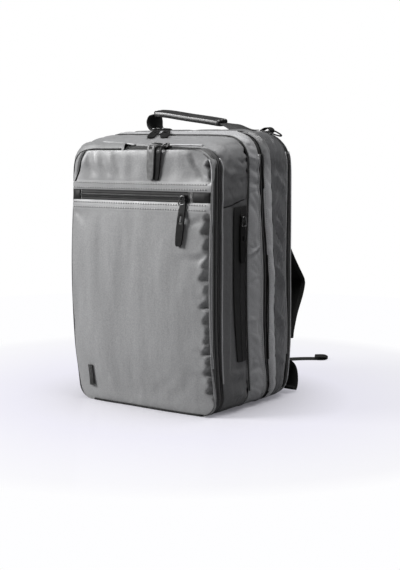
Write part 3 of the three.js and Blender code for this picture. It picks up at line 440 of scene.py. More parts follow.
# Troughs of the panel: line, width and depth. A crest of half the depth follows on the left, or upper, side.
HINGE_SEAM = [(-113, 408), (-117, 400), (-121, 389), (-127, 372), (-132, 357)]
TROUGHS = [
    ([(-106, 434), *HINGE_SEAM, (-140, 350)], 3, 3.0),
    ([(-104, 408), (-100, 388), (-84, 366)], 9, 3.6),
    ([(-80, 408), (-72, 388), (-54, 366)], 8, 3.2),
    ([(-50, 408), (-42, 388), (-31, 366)], 8, 2.8),
    ([(-20, 408), (-14, 392), (-16, 368)], 8, 1.6),
    ([(60, 406), (64, 388), (60, 368)], 11, 1.4),
    ([(98, 408), (104, 394), (116, 382), (143, 366)], 5, 5.0),
    ([(-139, 326), (-128, 312), (-110, 296)], 7, 1.6),
    ([(-70, 326), (-72, 250), (-70, 170)], 12, 0.9),
    ([(-30, 326), (-28, 240), (-34, 130)], 15, 1.0),
    ([(20, 326), (16, 250), (18, 120)], 13, 0.8),
    ([(84, 316), (104, 308), (124, 316), (140, 322)], 5, 2.2),
    ([(70, 300), (76, 250), (64, 180)], 14, 1.0),
    ([(88, 254), (112, 252), (140, 264)], 6, 2.6),
    ([(96, 196), (118, 190), (140, 196)], 6, 1.2),
    ([(108, 108), (124, 106), (141, 118)], 4, 2.2),
    ([(92, 70), (116, 66), (140, 78)], 7, 1.4),
    ([(60, 30), (84, 44), (96, 70)], 9, 1.0),
    ([(20, 22), (36, 40), (70, 60)], 8, 0.8),
    ([(-136, 120), (-126, 160), (-134, 220)], 8, 1.4),
]
# Puckers where the panel's right edge is gathered into its seam: height, reach to the left and half height.
PUCKERS = [
    (398, 8, 10), (380, 3, 8), (316, 8, 9), (297, 13, 14), (272, 9, 13), (243, 10, 12),
    (225, 15, 13), (204, 6, 9), (181, 14, 8), (156, 10, 11), (139, 6, 7), (125, 9, 10),
    (107, 13, 8), (90, 6, 7), (74, 11, 9), (58, 5, 6), (43, 10, 9),
]
PUCKER_X = 132
PUCKER_DEPTH = 10.5
# How far the panel's face turns away at its right edge, its left one and its foot.
TURNS = (5.0, 2.0, 2.5)
SLIT_Z, SLIT_TALL = 347.7, 17.8
# How far the slit's middle and its hems sink from the right to the left edge, where the panel slumps.
SLIT_SLUMP, HEM_SLUMP = 7.8778, 5.5


def leftness(x):
    """Share of the way from the panel's right edge to its left one, at x in millimetres."""
    return 0.5 - x * MM / WIDTH


def taut(z):
    """How near heights are to the slit, round which the cloth lies flat and taut, from 1 down to 0."""
    return np.exp(-(((z - SLIT_Z + 4) / 29) ** 6))


def panel_field(x, z):
    """How far the panel's face lies behind its CAD surface, in millimetres."""
    field = np.zeros(x.shape)
    for line, wide, deep in TROUGHS:
        field += deep * along_line(x, z, line, wide)
        crest = [(px - wide * 1.5, pz + wide * 0.5) for px, pz in line]
        field -= 0.5 * deep * along_line(x, z, crest, wide)
    seam = PUCKER_X - 2.5
    shore = np.full(x.shape, seam)
    for level, reach, tall in PUCKERS:
        beside = np.abs(z - level - 0.3 * (x - PUCKER_X)) / tall
        shore = np.minimum(shore, seam - reach * np.clip(1 - beside, 0, 1) ** 0.8)
    gathered = smooth(z, 22, 40) * (1 - smooth(z, 322, 330))
    gathered += smooth(z, 368, 376) * (1 - smooth(z, 402, 412))
    rim = 1 - smooth(x, PUCKER_X + 2.2, PUCKER_X + 4.2)
    field += PUCKER_DEPTH * gathered * smooth(x, shore, shore + 6) * rim
    field -= 0.5 * gathered * np.exp(-(((x - shore + 3) / 3) ** 2))
    right_turn, left_turn, foot_turn = TURNS
    field += right_turn * smooth(x, 60, 134) ** 1.5 * (1 - smooth(x, 134, 137))
    field += left_turn * smooth(-x, 100, 140) + foot_turn * smooth(-z, -60, 0)
    field *= 1 - 0.96 * taut(z)
    # The two stitched hems of the slit stand a little proud.
    middle = SLIT_Z - HEM_SLUMP * leftness(x)
    hems = np.exp(-(((np.abs(z - middle) - 16.5) / 8.2) ** 8))
    return field - 0.1 * hems


panel = refined("front_panel", 3)
places = points_of(panel)
facing = normals_of(panel)[:, 1]
x, z = places[:, 0] / MM, places[:, 2] / MM
weight = np.clip(np.abs(facing) * 1.6 - 0.15, 0, 1)
field = panel_field(x, z) * weight
slow = rough_noise(places, (0.035, 0.2, 0.12), 1) * 1.2 + rough_noise(places, (0.016, 0.2, 0.04), 2) * 0.3
field += slow * weight * (1 - 0.9 * taut(z))
move(panel, np.outer(field * MM, BACKWARD))
front_panel = add_piece("panel_cloth", panel, LIGHT, ["front_panel"])
PANEL = tree_of(panel)


def on_panel(x, z, lift=0.0):
    """The panel's outer surface at x and z in millimetres, as (place, normal), or None."""
    place, normal, _, _ = PANEL.ray_cast(Vector((x * MM, -AWAY, z * MM)), BACKWARD)
    if place is None:
        return None
    if normal.y > 0:
        normal = -normal
    return place + normal * lift * MM, normal


def slit_line(x):
    """Height of the middle of the slit zip, which the panel's slump carries down on its left."""
    return SLIT_Z - SLIT_SLUMP * max(0, leftness(x))


def panel_strip(name, half, low, high, thick):
    """A folded hem on the panel: a strip between two heights off the slit's line, thin at its rims."""
    up, step = 5, 3.0
    across = int(2 * half / step)
    places, faces = [], []
    for i in range(across + 1):
        for j in range(up + 1):
            x = 2 * half * i / across - half
            rim = min(1, j, up - j, i, across - i)
            place, normal = on_panel(x, slit_line(x) + low + (high - low) * j / up)
            places.append(place + normal * (thick if rim else 0.1) * MM)
    for i in range(across):
        for j in range(up):
            a = i * (up + 1) + j
            faces.append((a, a + up + 1, a + up + 2, a + 1))
    built(name, places, faces, HEM)


HEM_HALF = 136
panel_strip("slit_hem_upper", HEM_HALF, 8.2, 23.5, 0.45)
panel_strip("slit_hem_lower", HEM_HALF, -24, -8.4, 0.35)

# Two rows of stitches on each hem, with a dark grain between one stitch and the next that paints the shade
# of its needle hole.
STITCH_PITCH = 4.9
STITCHED_HALF = 134
HEM_ROWS = (11.8, 19.4, -12.2, -19.8)
rows, holes = [], []
for rise in HEM_ROWS:
    for i in range(int(2 * STITCHED_HALF / STITCH_PITCH)):
        x = STITCH_PITCH * i - STITCHED_HALF
        place, normal = on_panel(x, slit_line(x) + rise, 0.9)
        rows.append((place, RIGHT, normal))
        place, normal = on_panel(x + STITCH_PITCH / 2, slit_line(x) + rise, 0.75)
        holes.append((place, RIGHT, normal))
grains("slit_stitches", rows, (3.0, 2.2, 1.4), THREAD)
grains("slit_stitch_hole_shade", holes, (2.1, 2.0, 0.7), DARK_THREAD)


# The bands. Each closed band is measured along its outline, from the middle of the foot to the right
# and round. Outlines are millimetres, as (x, z).
SIDE, TALL, ROUND = 141, 441, 40
OUTLINE = []
for start, end, count in (
    ((0, 0), (113, 0), 20),
    ((SIDE, 28), (SIDE, 384), 60),
    ((84, TALL), (-84, TALL), 40),
    ((-SIDE, 384), (-SIDE, 28), 60),
    ((-113, 0), (0, 0), 20),
):
    for i in range(count):
        share = i / count
        OUTLINE.append((start[0] + (end[0] - start[0]) * share, start[1] + (end[1] - start[1]) * share))
OUTLINE = np.array(OUTLINE)
RUN = np.concatenate([[0], np.cumsum(np.hypot(*np.diff(OUTLINE, axis=0).T))])
BINS = 90


def core(x, z):
    """The place inside the outline from which the side at x and z faces outwards."""
    return np.clip(x, ROUND - SIDE, SIDE - ROUND), np.clip(z, ROUND, TALL - ROUND)


def band_place(places):
    """Millimetres along the outline for each place, and its outward direction."""
    x, z = places[:, 0] / MM, places[:, 2] / MM
    run = np.empty(len(places))
    for start in range(0, len(places), 4000):
        part = slice(start, start + 4000)
        far = np.hypot(x[part, None] - OUTLINE[None, :, 0], z[part, None] - OUTLINE[None, :, 1])
        run[part] = RUN[far.argmin(1)]
    inner_x, inner_z = core(x, z)
    size = np.maximum(np.hypot(x - inner_x, z - inner_z), 1e-6)
    return run, np.stack([(x - inner_x) / size, np.zeros(len(x)), (z - inner_z) / size], 1)


def band_share(run, depth):
    """Share across the band, from its front edge to its back edge, at each place along it."""
    slot_of = np.minimum((run / (RUN[-1] + 1) * BINS).astype(int), BINS - 1)
    low = np.full(BINS, np.nan)
    high = np.full(BINS, np.nan)
    for i in range(BINS):
        here = depth[slot_of == i]
        if len(here):
            low[i], high[i] = here.min(), here.max()
    known = ~np.isnan(low)
    middle = (np.arange(BINS) + 0.5) * (RUN[-1] + 1) / BINS
    low = np.interp(run, middle[known], low[known])
    high = np.interp(run, middle[known], high[known])
    return (depth - low) / np.maximum(high - low, 1e-6)


def wrinkles(places, size, slant, seed):
    """Sharp-crested folds, about 0 to 1, that run along a slanted direction of the y-z plane."""
    turned = places.copy()
    turned[:, 1] = places[:, 1] * math.cos(slant) + places[:, 2] * math.sin(slant)
    turned[:, 2] = -places[:, 1] * math.sin(slant) + places[:, 2] * math.cos(slant)
    warp = rough_noise(places, (0.03, 0.03, 0.03), seed + 3) * 0.35
    lines = rough_noise(turned + warp[:, None] * np.array(size) * 0.8, size, seed)
    return np.clip(1 - np.abs(lines) * 3.2, 0, 1) ** 1.5


# Each band: finish, slot, how far it puffs out or, below nought, lies in, and its folds' depth and slant.
BANDS = {
    "front_pocket_hinge": (HINGE, "light_nylon", 0.5, 1.0, 0.2),
    "front_body": (SHADED_SIDE_NYLON, "grey_nylon", 1.6, 1.0, 1.2),
    "gusset_strip": (TOP_GREY, "grey_nylon", 2.6, 1.6, 0.9),
    "fold_strip": (LIT_FOLD_NYLON, "light_nylon", 1.2, 1.3, 0.5),
    "rear_body": (REAR, "grey_nylon", 1.5, 1.8, -0.45),
    "front_pocket_zip": (POCKET_TAPE, "black_tape", -0.8, 0, 0),
    "main_zip": (TAPE, "black_tape", -0.5, 0, 0),
    "rear_zip": (TAPE, "black_tape", 1.6, 0, 0),
    "piping": (PIPING, "dark_cord", 0, 0, 0),
}
# Folds of the right side, as lines of (y, z) in millimetres, with their width and depth. Those with a
# depth below nought stand out.
SIDE_FOLDS = {
    "rear_body": [
        ([(56, 376), (70, 356), (86, 346)], 4, -2.6),
        ([(58, 312), (66, 300), (78, 282)], 3.5, 3.4),
        ([(58, 300), (69, 285), (85, 261)], 3.5, -4.0),
        ([(54, 287), (66, 270), (76, 250)], 3.5, 3.4),
        ([(54, 262), (64, 246), (72, 228)], 3.5, -3.2),
        ([(55, 226), (68, 207), (77, 191), (83, 176)], 3.5, -4.6),
        ([(52, 212), (62, 196), (72, 172)], 4, 3.2),
        ([(61, 148), (72, 133), (83, 115)], 3.5, -3.8),
        ([(54, 140), (66, 120), (76, 98)], 5, 3.0),
        ([(60, 84), (74, 66), (88, 58)], 5, -1.8),
        ([(52, 390), (66, 376), (84, 372)], 7, 2.2),
        ([(56, 352), (70, 340), (80, 322)], 6, 1.4),
    ],
    "gusset_strip": [
        ([(-18, 390), (0, 382), (14, 386)], 3.5, 2.6),
        ([(-16, 405), (2, 399), (16, 403)], 3, -2.4),
        ([(-6, 350), (2, 338), (10, 330)], 3, -1.8),
        ([(8, 263), (-8, 256), (-21, 250)], 2.6, -2.4),
        ([(9, 257), (-7, 250), (-20, 244)], 3, 1.8),
        ([(4, 300), (-8, 284), (-16, 262)], 7, -1.6),
        ([(-18, 334), (-4, 322), (10, 318)], 6, 1.6),
        ([(-20, 366), (-2, 362), (12, 364)], 4, 2.6),
        ([(-20, 144), (-5, 145), (9, 147)], 3, -1.6),
        ([(-18, 204), (-4, 210), (10, 208)], 4, 1.4),
        ([(-16, 128), (-2, 118), (10, 92)], 7, -1.8),
        ([(-14, 60), (4, 66), (20, 62)], 5, 2.6),
        ([(-10, 36), (2, 40), (8, 38)], 5, 2.0),
    ],
    "front_body": [
        ([(-60, 300), (-30, 310)], 5, 1.2),
        ([(-52, 374), (-38, 368), (-24, 370)], 4, 2.0),
        ([(-48, 402), (-36, 396), (-24, 398)], 3.5, 2.4),
        ([(-88, 392), (-70, 380), (-52, 384)], 5, -2.0),
        ([(-88, 331), (-65, 333), (-43, 338), (-24, 339)], 2.5, 2.4),
        ([(-88, 342), (-60, 344), (-30, 350)], 7, -1.6),
        ([(-60, 78), (-45, 82), (-24, 84)], 4, 1.6),
        ([(-62, 62), (-44, 64), (-26, 68)], 6, -2.2),
        ([(-66, 48), (-48, 52), (-30, 50)], 5, 1.8),
        ([(-60, 30), (-44, 34), (-30, 30)], 8, -2.4),
        ([(-82, 370), (-72, 392), (-60, 410)], 7, 2.2),
    ],
    "fold_strip": [
        ([(38, 232), (44, 214), (40, 196)], 4, -1.6),
        ([(40, 256), (46, 248), (42, 236)], 4, 1.4),
        ([(44, 170), (48, 158), (46, 142)], 4, 1.4),
        ([(42, 320), (48, 300), (44, 284)], 4, -1.2),
    ],
}
# Short puckers of the side's seams: band, share across it, height, half height and depth in millimetres.
SEAM_PUCKERS = [
    ("front_body", 0.97, 412, 3.5, 3.2),
    ("front_body", 0.97, 400, 3, 2.6),
    ("front_body", 0.97, 384, 3, 2.2),
    ("front_body", 0.97, 30, 5, 2.6),
    ("front_body", 0.97, 44, 4, 2.4),
    ("front_body", 0.02, 404, 5, 3.0),
    ("gusset_strip", 0.97, 352, 4, 2.2),
]
CLOTH_CUT = 0.0146
TREES = {}
EDGES = {}
for seed, (node, (finish, slot, puff, fold, slant)) in enumerate(BANDS.items()):
    if fold:
        mesh = refined(node, 2, cut=CLOTH_CUT)
    else:
        mesh = refined(node, 1 if node == "piping" else 2, 50)
    places = points_of(mesh)
    y, z = places[:, 1] / MM, places[:, 2] / MM
    run, out = band_place(places)
    share = band_share(run, places[:, 1])
    # A soft unevenness that all the cloth of the sides shares, so that its seams keep together.
    amount = rough_noise(places, (0.06, 0.09, 0.075), 5) * 1.1
    if fold:
        inside = smooth(share, 0.04, 0.3) * (1 - smooth(share, 0.7, 0.96))
        folds = wrinkles(places, (0.05, 0.012, 0.045), slant, 20 + seed)
        fine = rough_noise(places, (0.02, 0.012, 0.02), 40 + seed)
        amount += puff * np.sin(np.pi * np.clip(share, 0, 1))
        amount += inside * (0.25 * fine - fold * (folds - 0.3))
    else:
        amount += puff
    on_right = smooth(out[:, 0], 0.2, 0.8)
    for line, wide, deep in SIDE_FOLDS.get(node, []):
        amount -= deep * along_line(y, z, line, wide) * on_right
    if node == "front_body":
        pocket = smooth(y, -74, -66) * smooth(z, 66, 74) * (1 - smooth(z, 328, 336)) * on_right
        amount = amount * (1 - pocket) - 0.6 * pocket
    for name, at, level, tall, deep in SEAM_PUCKERS:
        if name == node:
            near = np.exp(-(((share - at) / 0.09) ** 2) - ((z - level) / tall) ** 2)
            amount -= deep * near * on_right
    standing = smooth(places[:, 2], 0.004, 0.03)
    move(mesh, out * (amount * standing * MM)[:, None])
    add_piece(node + "_cloth", mesh, finish, [node])
    TREES[node] = tree_of(mesh)
    EDGES[node] = (run, points_of(mesh)[:, 1])


def edge_depths(node):
    """Depth of a band's front and back edges, at even steps along the outline where it has them."""
    run, depths = EDGES[node]
    found = []
    for middle in (np.arange(BINS) + 0.5) * RUN[-1] / BINS:
        here = depths[np.abs(run - middle) < RUN[-1] / BINS * 0.8]
        if len(here):
            found.append((middle, here.min(), here.max()))
    return np.array(found).T


def on_band(node, run, share, edges):
    """A band's outer surface at a distance along it and a share across it, as (place, normal), or None."""
    middles, low, high = edges
    if np.abs(middles - run).min() > 30:
        return None
    depth = np.interp(run, middles, low) * (1 - share) + np.interp(run, middles, high) * share
    x, z = np.interp(run, RUN, OUTLINE[:, 0]), np.interp(run, RUN, OUTLINE[:, 1])
    inner_x, inner_z = core(x, z)
    out = Vector((x - inner_x, 0, z - inner_z)).normalized()
    start = Vector((inner_x * MM, depth, inner_z * MM)) + out * 0.12
    place, normal, _, _ = TREES[node].ray_cast(start, -out, 0.2)
    if place is None:
        return None
    if normal.dot(out) < 0:
        normal = -normal
    return place, normal


def band_row(node, share, step):
    """Stops along a band at one share across it: place, direction of the run and normal."""
    edges = edge_depths(node)
    found = [on_band(node, i * step, share, edges) for i in range(int(RUN[-1] / step))]
    found = [stop for stop in found if stop]
    stops = []
    for before, (place, normal), after in zip(found, found[1:], found[2:]):
        along = after[0] - before[0]
        if along.length < 6 * step * MM:
            stops.append((place, along.normalized(), normal))
    return stops


def across_row(stops):
    """The same stops, with each grain turned across the run, as the teeth of a zip."""
    return [(place, along.cross(normal).normalized(), normal) for place, along, normal in stops]


ZIP_TEETH = (3.6, 1.1, 1.3)
for node in ("front_pocket_zip", "main_zip", "rear_zip"):
    grains(node + "_teeth", across_row(band_row(node, 0.5, 1.5)), ZIP_TEETH, TEETH)


CORD_GAP = 20


def cord_along(name, stops, radius, material, lift):
    """Round cords along the stops of a row, broken where the row is, in one mesh. Sizes are millimetres."""
    sides = 8
    chains = [[stops[0]]]
    for before, stop in zip(stops, stops[1:]):
        if (stop[0] - before[0]).length > CORD_GAP * MM:
            chains.append([])
        chains[-1].append(stop)
    places, faces = [], []
    for chain in chains:
        if len(chain) < 5:
            continue
        middles = np.array([place + normal * lift * MM for place, _, normal in chain])
        eased = middles.copy()
        for _ in range(2):
            eased[1:-1] = (eased[:-2] + 2 * eased[1:-1] + eased[2:]) / 4
        first = len(places)
        for middle, (_, along, normal) in zip(eased, chain):
            across = along.cross(normal).normalized()
            for k in range(sides):
                turn = math.tau * k / sides
                spoke = across * math.cos(turn) + normal * math.sin(turn)
                places.append(Vector(middle) + spoke * radius * MM)
        for i in range(len(chain) - 1):
            for k in range(sides):
                a, b = first + i * sides + k, first + i * sides + (k + 1) % sides
                faces.append((a, a + sides, b + sides, b))
        last = first + (len(chain) - 1) * sides
        faces.append(tuple(first + k for k in range(sides)))
        faces.append(tuple(last + k for k in reversed(range(sides))))
    built(name, places, faces, material, closed=True)


# The rolled edges of the cloth beside the zips, with a painted highlight along them, and cords that paint
# the shade in the grooves and the highlight on the ridges of the zips' tapes:
# band, share across it, radius, lift, finish, and slot where it isn't the band's own.
LINES = [
    ("front_pocket_zip", 0.03, 1.5, 0.9, EDGE_HIGHLIGHT, "light_nylon"),
    ("front_pocket_zip", 0.28, 0.7, 0.1, RIDGE_HIGHLIGHT),
    ("front_pocket_zip", 0.4, 0.6, 0.0, GROOVE_SHADE),
    ("front_pocket_zip", 0.62, 0.7, 0.1, RIDGE_HIGHLIGHT),
    ("front_pocket_zip", 0.82, 0.8, 0.1, GROOVE_SHADE),
    ("front_body", 0.03, 1.3, 1.1, EDGE_HIGHLIGHT, "light_nylon"),
    ("gusset_strip", 0.03, 1.1, 0.9, EDGE_HIGHLIGHT),
    ("gusset_strip", 0.95, 1.1, 0.8, EDGE_HIGHLIGHT),
    ("main_zip", 0.2, 1.0, 0.1, GROOVE_SHADE),
    ("main_zip", 0.5, 0.8, 0.5, RIDGE_HIGHLIGHT),
    ("main_zip", 0.8, 1.0, 0.1, GROOVE_SHADE),
    ("fold_strip", 0.05, 1.2, 0.5, TAPE),
    ("fold_strip", 0.95, 1.0, 0.4, GROOVE_SHADE, "dark_cord"),
    ("rear_body", 0.97, 0.8, 0.5, EDGE_HIGHLIGHT),
    ("rear_zip", 0.15, 1.2, 0.1, GROOVE_SHADE),
    ("rear_zip", 0.45, 0.7, 0.3, RIDGE_HIGHLIGHT),
    # The rear zip's back edge in the fold strip's pale tone: a painted highlight where light from behind
    # catches it.
    ("rear_zip", 0.97, 1.2, 0.8, LIT_FOLD_NYLON, "light_nylon"),
]
# The pocket zip's edge ends above the foot, and the hinge's seam, a near-black cord that paints the shadow
# in its gap, is seen at its top only.
EDGE_FOOT, SEAM_FOOT = 0.026, 0.34
for node, share, radius, lift, finish, *slot in LINES:
    name = "%s_line_%02d" % (node, round(share * 100))
    rows = band_row(node, share, 4.0)
    if name == "front_pocket_zip_line_03":
        rows = [stop for stop in rows if stop[0].z > EDGE_FOOT]
    cord_along(name, rows, radius, finish, lift)
rows = [stop for stop in band_row("front_pocket_hinge", 0.04, 4.0) if stop[0].z > SEAM_FOOT]
cord_along("hinge_seam_shade", rows, 1.3, SEAM_SHADE_CORD, 0.8)
# A near-black cord along the panel's seam with the hinge: painted shadow in the gap between them.
rows = []
for (x0, z0), (x1, z1) in zip(HINGE_SEAM, HINGE_SEAM[1:]):
    for share in (0, 0.25, 0.5, 0.75):
        found = on_panel(x0 + (x1 - x0) * share, z0 + (z1 - z0) * share)
        if found:
            rows.append((found[0], Vector((x1 - x0, 0, z1 - z0)).normalized(), found[1]))
cord_along("panel_seam_shade", rows, 1.5, GROOVE_SHADE, 0.2)
# A near-black cord, in the groove shade tone, along the panel's foot seam just above the floor.
rows = []
for x in np.arange(-104, 114, 4):
    place = on_panel(x, 5)[0]
    rows.append((Vector((place.x, place.y, 1.6 * MM)), RIGHT, FORWARD))
cord_along("foot_seam", rows, 1.6, GROOVE_SHADE, 0.2)
# The seam of the flap over the side pocket, as (y, z), drawn as a near-black cord that paints the shade
# under the flap's edge.
FLAP_SEAM = (
    (-87, 330), (-80, 330.5), (-72, 331.5), (-64, 333), (-56, 335), (-48, 337), (-40, 338.5), (-32, 339),
)
rows = []
for y, z in FLAP_SEAM:
    hit = TREES["front_body"].ray_cast(Vector((AWAY, y * MM, z * MM)), -RIGHT)[0]
    if hit is not None:
        rows.append((hit, BACKWARD, RIGHT))
cord_along("flap_seam_shade", rows, 1.0, GROOVE_SHADE, 0)

STITCH = (2.1, 0.6, 0.6)
# Rows of small stitches along the bands' seams: band and share across it.
SEAM_ROWS = [
    ("gusset_strip", 0.12), ("gusset_strip", 0.8), ("gusset_strip", 0.86),
    ("fold_strip", 0.14), ("rear_body", 0.93), ("front_body", 0.94),
]
for node, share in SEAM_ROWS:
    name = "%s_stitches_%02d" % (node, round(share * 100))
    grains(name, band_row(node, share, 3.2), STITCH, DARK_THREAD)

# Small zips: the slit's tape and the side pocket's tape, with their teeth.
for node, finish in (("slit_zip", SLIT_TAPE), ("side_zip", DEEP_TAPE)):
    mesh = refined(node, 2, 40, 0.9)
    add_piece(node + "_tape", mesh, finish, [node])
    TREES[node] = tree_of(mesh)


def on_slit(x, rise):
    """The place on the slit's tape at x and a rise off the slit's line, in millimetres, or None."""
    return TREES["slit_zip"].ray_cast(Vector((x * MM, -AWAY, (slit_line(x) + rise) * MM)), BACKWARD)[0]


def slit_row(reach, step, rise, along):
    """Stops on the slit's tape, from its left end to the right."""
    found = [on_slit(step * i - 118, rise) for i in range(int(reach / step))]
    return [(hit, along, FORWARD) for hit in found if hit is not None]


TOOTH_PITCH = 1.5
grains("slit_zip_teeth", slit_row(200, TOOTH_PITCH, 0, UP), ZIP_TEETH, COIL_HIGHLIGHT_TEETH)
# Near-black cords paint the shadow under the upper hem and the shade in the grooves on both sides of the
# coil.
for name, rise in (("slit_hem_shadow", 7.6), ("slit_groove_upper", 3.4), ("slit_groove_lower", -3.2)):
    cord_along(name, slit_row(216, 4, rise, RIGHT), 0.75, GROOVE_SHADE, 0.1)

low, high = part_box("side_zip")
rows = []
for i in range(int((high.z - low.z) / MM / TOOTH_PITCH) - 4):
    z = low.z + (4 + TOOTH_PITCH * i) * MM
    best = None
    for y in np.linspace(low.y, high.y, 40):
        hit = TREES["side_zip"].ray_cast(Vector((AWAY, y, z)), -RIGHT)[0]
        if hit is not None and (best is None or hit.x > best.x):
            best = hit
    if best is not None:
        rows.append((best, BACKWARD, RIGHT))
grains("side_zip_teeth", rows, ZIP_TEETH, TEETH)


def slit_patch(name, x0, x1, half, thick):
    """A flat patch on the slit's tape, with softened edges."""
    across, up = 8, 6
    places, faces = [], []
    for side in (0, 1):
        for i in range(across + 1):
            for j in range(up + 1):
                x = x0 + (x1 - x0) * i / across
                rise = 2 * half * j / up - half
                hit = on_slit(x, rise)
                if hit is None:
                    hit = on_panel(x, slit_line(x) + rise)[0]
                rim = min(i, across - i, 1) * min(j, up - j, 1)
                places.append(hit + FORWARD * (side * (0.35 + 0.65 * rim) * thick - 0.1) * MM)
    ring = (across + 1) * (up + 1)
    for a in range(ring - up - 2):
        if a % (up + 1) < up:
            quad = (a, a + 1, a + up + 2, a + up + 1)
            faces += [quad, tuple(ring + k for k in quad)]
    rim = [i * (up + 1) for i in range(across)] + [ring - up - 1 + j for j in range(up)]
    rim += [i * (up + 1) + up for i in range(across, 0, -1)] + list(range(up, 0, -1))
    for a, b in zip(rim, rim[1:] + rim[:1]):
        faces.append((a, b, b + ring, a + ring))
    built(name, places, faces, GARAGE, closed=True)


# A garage at each end of the slit, and bartacks beside them.
half = SLIT_TALL / 2 - 0.6
slit_patch("slit_garage_left", -136.5, -119, half, 1.3)
slit_patch("slit_garage_right", 104, 136, half, 1.5)
rows = []
for k in range(9):
    for x in (101, 103.2, -117.5):
        hit = on_slit(x, (half - 1) * (k / 4 - 1))
        if hit is not None:
            rows.append((hit + FORWARD * 0.3 * MM, UP, FORWARD))
grains("slit_bartacks", rows, (2.2, 0.9, 0.9), THREAD)


# Hard trim: rounded copies of the sliders, pulls, rings and locks.
def trim(node, name, material, levels=2, crease=35, sharpness=0.55):
    add_piece(name, refined(node, levels, crease, sharpness), material, [node])


for place in ("slit_zip", "side_zip", "rear_zip"):
    trim(place + "_slider", place + "_slider_body", METAL)
    trim(place + "_pull", place + "_pull_tab", RUBBER)
for place in ("front_pocket", "main_zip"):
    for side in ("left", "right"):
        trim(place + "_slider_" + side, place + "_slider_body_" + side, METAL)
        tone = PULL_GREY if place == "front_pocket" and side == "left" else RUBBER
        trim(place + "_pull_" + side, place + "_pull_tab_" + side, tone)
for side in ("left", "right"):
    trim("d_ring_" + side, "ring_wire_" + side, METAL, 1, None)
    trim("ring_tab_" + side, "ring_loop_" + side, STRAP, 2, 60)
    trim("ladder_lock_" + side, "lock_frame_" + side, PLASTIC, 2, 35, 0.7)
    trim("lower_webbing_" + side, "tail_webbing_" + side, STRAP, 1, 60)
    trim("lower_tab_" + side, "corner_tab_" + side, STRAP, 2, 45)
trim("plain_tab", "plain_tab_loop", TAB, 2, 40)
trim("handle_webbing", "handle_band", HANDLE_WEBBING, 1, 60, 0.9)
trim("handle_grip", "grip_leather", LEATHER, 2, 22, 0.5)
trim("strap_anchor", "anchor_patch", PADDING, 2, 40)


def wire(name, line, radius):
    """A bent metal wire through the points of a closed line."""
    curve = bpy.data.curves.new(name, "CURVE")
    curve.dimensions = "3D"
    curve.bevel_depth = radius
    curve.bevel_resolution = 3
    curve.resolution_u = 6
    spline = curve.splines.new("BEZIER")
    spline.bezier_points.add(len(line) - 1)
    for point, at in zip(spline.bezier_points, line):
        point.co = at
        point.handle_left_type = point.handle_right_type = "AUTO"
    spline.use_cyclic_u = True
    obj = bpy.data.objects.new(name, curve)
    bpy.context.scene.collection.objects.link(obj)
    graph = bpy.context.evaluated_depsgraph_get()
    mesh = bpy.data.meshes.new_from_object(obj.evaluated_get(graph))
    bpy.data.objects.remove(obj)
    add_piece(name, mesh, BRIGHT_METAL)


# One side of a puller, from the slider to the pull: share of the way and half width.
PULLER_SIDE = ((-0.15, 3.0), (0.3, 4.4), (0.9, 6.0), (1.06, 5.2))


def puller(place, side_name, out, side):
    """A wire loop that links the bridge of a slider with the top of its pull."""
    low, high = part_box(place + "_slider" + side_name)
    start = (low + high) / 2 + out * 1.5 * MM
    points = points_of(NODES[place + "_pull" + side_name].data)
    near = points[np.argsort(np.linalg.norm(points - np.array(start), axis=1))[:6]]
    end = Vector(near.mean(0))
    end = end + (end - start).normalized() * 5 * MM + out * 0.6 * MM
    shape = [*PULLER_SIDE, *((share, -wide) for share, wide in reversed(PULLER_SIDE))]
    line = [start.lerp(end, share) + side * wide * MM + out * 1.1 * MM for share, wide in shape]
    wire(place + "_puller" + side_name, line, 1.0 * MM)


puller("slit_zip", "", FORWARD, RIGHT)
puller("side_zip", "", RIGHT, BACKWARD)
puller("rear_zip", "", -RIGHT, BACKWARD)
for side in ("_left", "_right"):
    puller("front_pocket", side, UP, RIGHT)
    puller("main_zip", side, UP, Vector((0.45, -0.89, 0)).cross(UP))

# Back panel and shoulder straps: padded, with sewn channels and bound edges.
mesh = refined("back_panel", 3)
places = points_of(mesh)
ways = normals_of(mesh)
x, z = places[:, 0] / MM, places[:, 2] / MM
CHANNEL_LEVELS = (120, 230, 330)
CHANNEL_DEPTH = 3.6
weight = np.clip(ways[:, 1] * 1.6 - 0.2, 0, 1) * (places[:, 1] > 0.1)
channel = np.exp(-((x / 9) ** 4)) * smooth(z, 40, 70) * (1 - smooth(z, 350, 380))
for level in CHANNEL_LEVELS:
    channel = np.maximum(channel, np.exp(-(((z - level) / 4.5) ** 2)) * (np.abs(x) < 112))
frame_line = np.exp(-(((np.maximum(np.abs(x) / 118, np.abs(z - 216) / 188) - 1) / 0.03) ** 2))
channel = np.maximum(channel, frame_line)
soft = rough_noise(places, (0.04, 0.2, 0.04), 8) * 0.6
move(mesh, np.outer((soft - CHANNEL_DEPTH * channel) * weight * MM, BACKWARD))
back = add_piece("back_padding", mesh, MESH, ["back_panel"])
BACK_TREE = tree_of(mesh)

# One row of stitches goes round along the channel near the rim: corners as (x, z), direction and length.
BACK_ROW = ((-118, 28, RIGHT, 236), (118, 28, UP, 376), (118, 404, -RIGHT, 236), (-118, 404, -UP, 376))
rows = []
for run in np.arange(0, sum(leg[3] for leg in BACK_ROW), 3.2):
    for x, z, along, length in BACK_ROW:
        if run < length:
            break
        run -= length
    start = Vector((x * MM, AWAY, z * MM)) + along * run * MM
    hit = BACK_TREE.ray_cast(start, FORWARD)[0]
    if hit is not None:
        rows.append((hit, along, BACKWARD))
grains("back_stitches", rows, STITCH, DARK_THREAD)


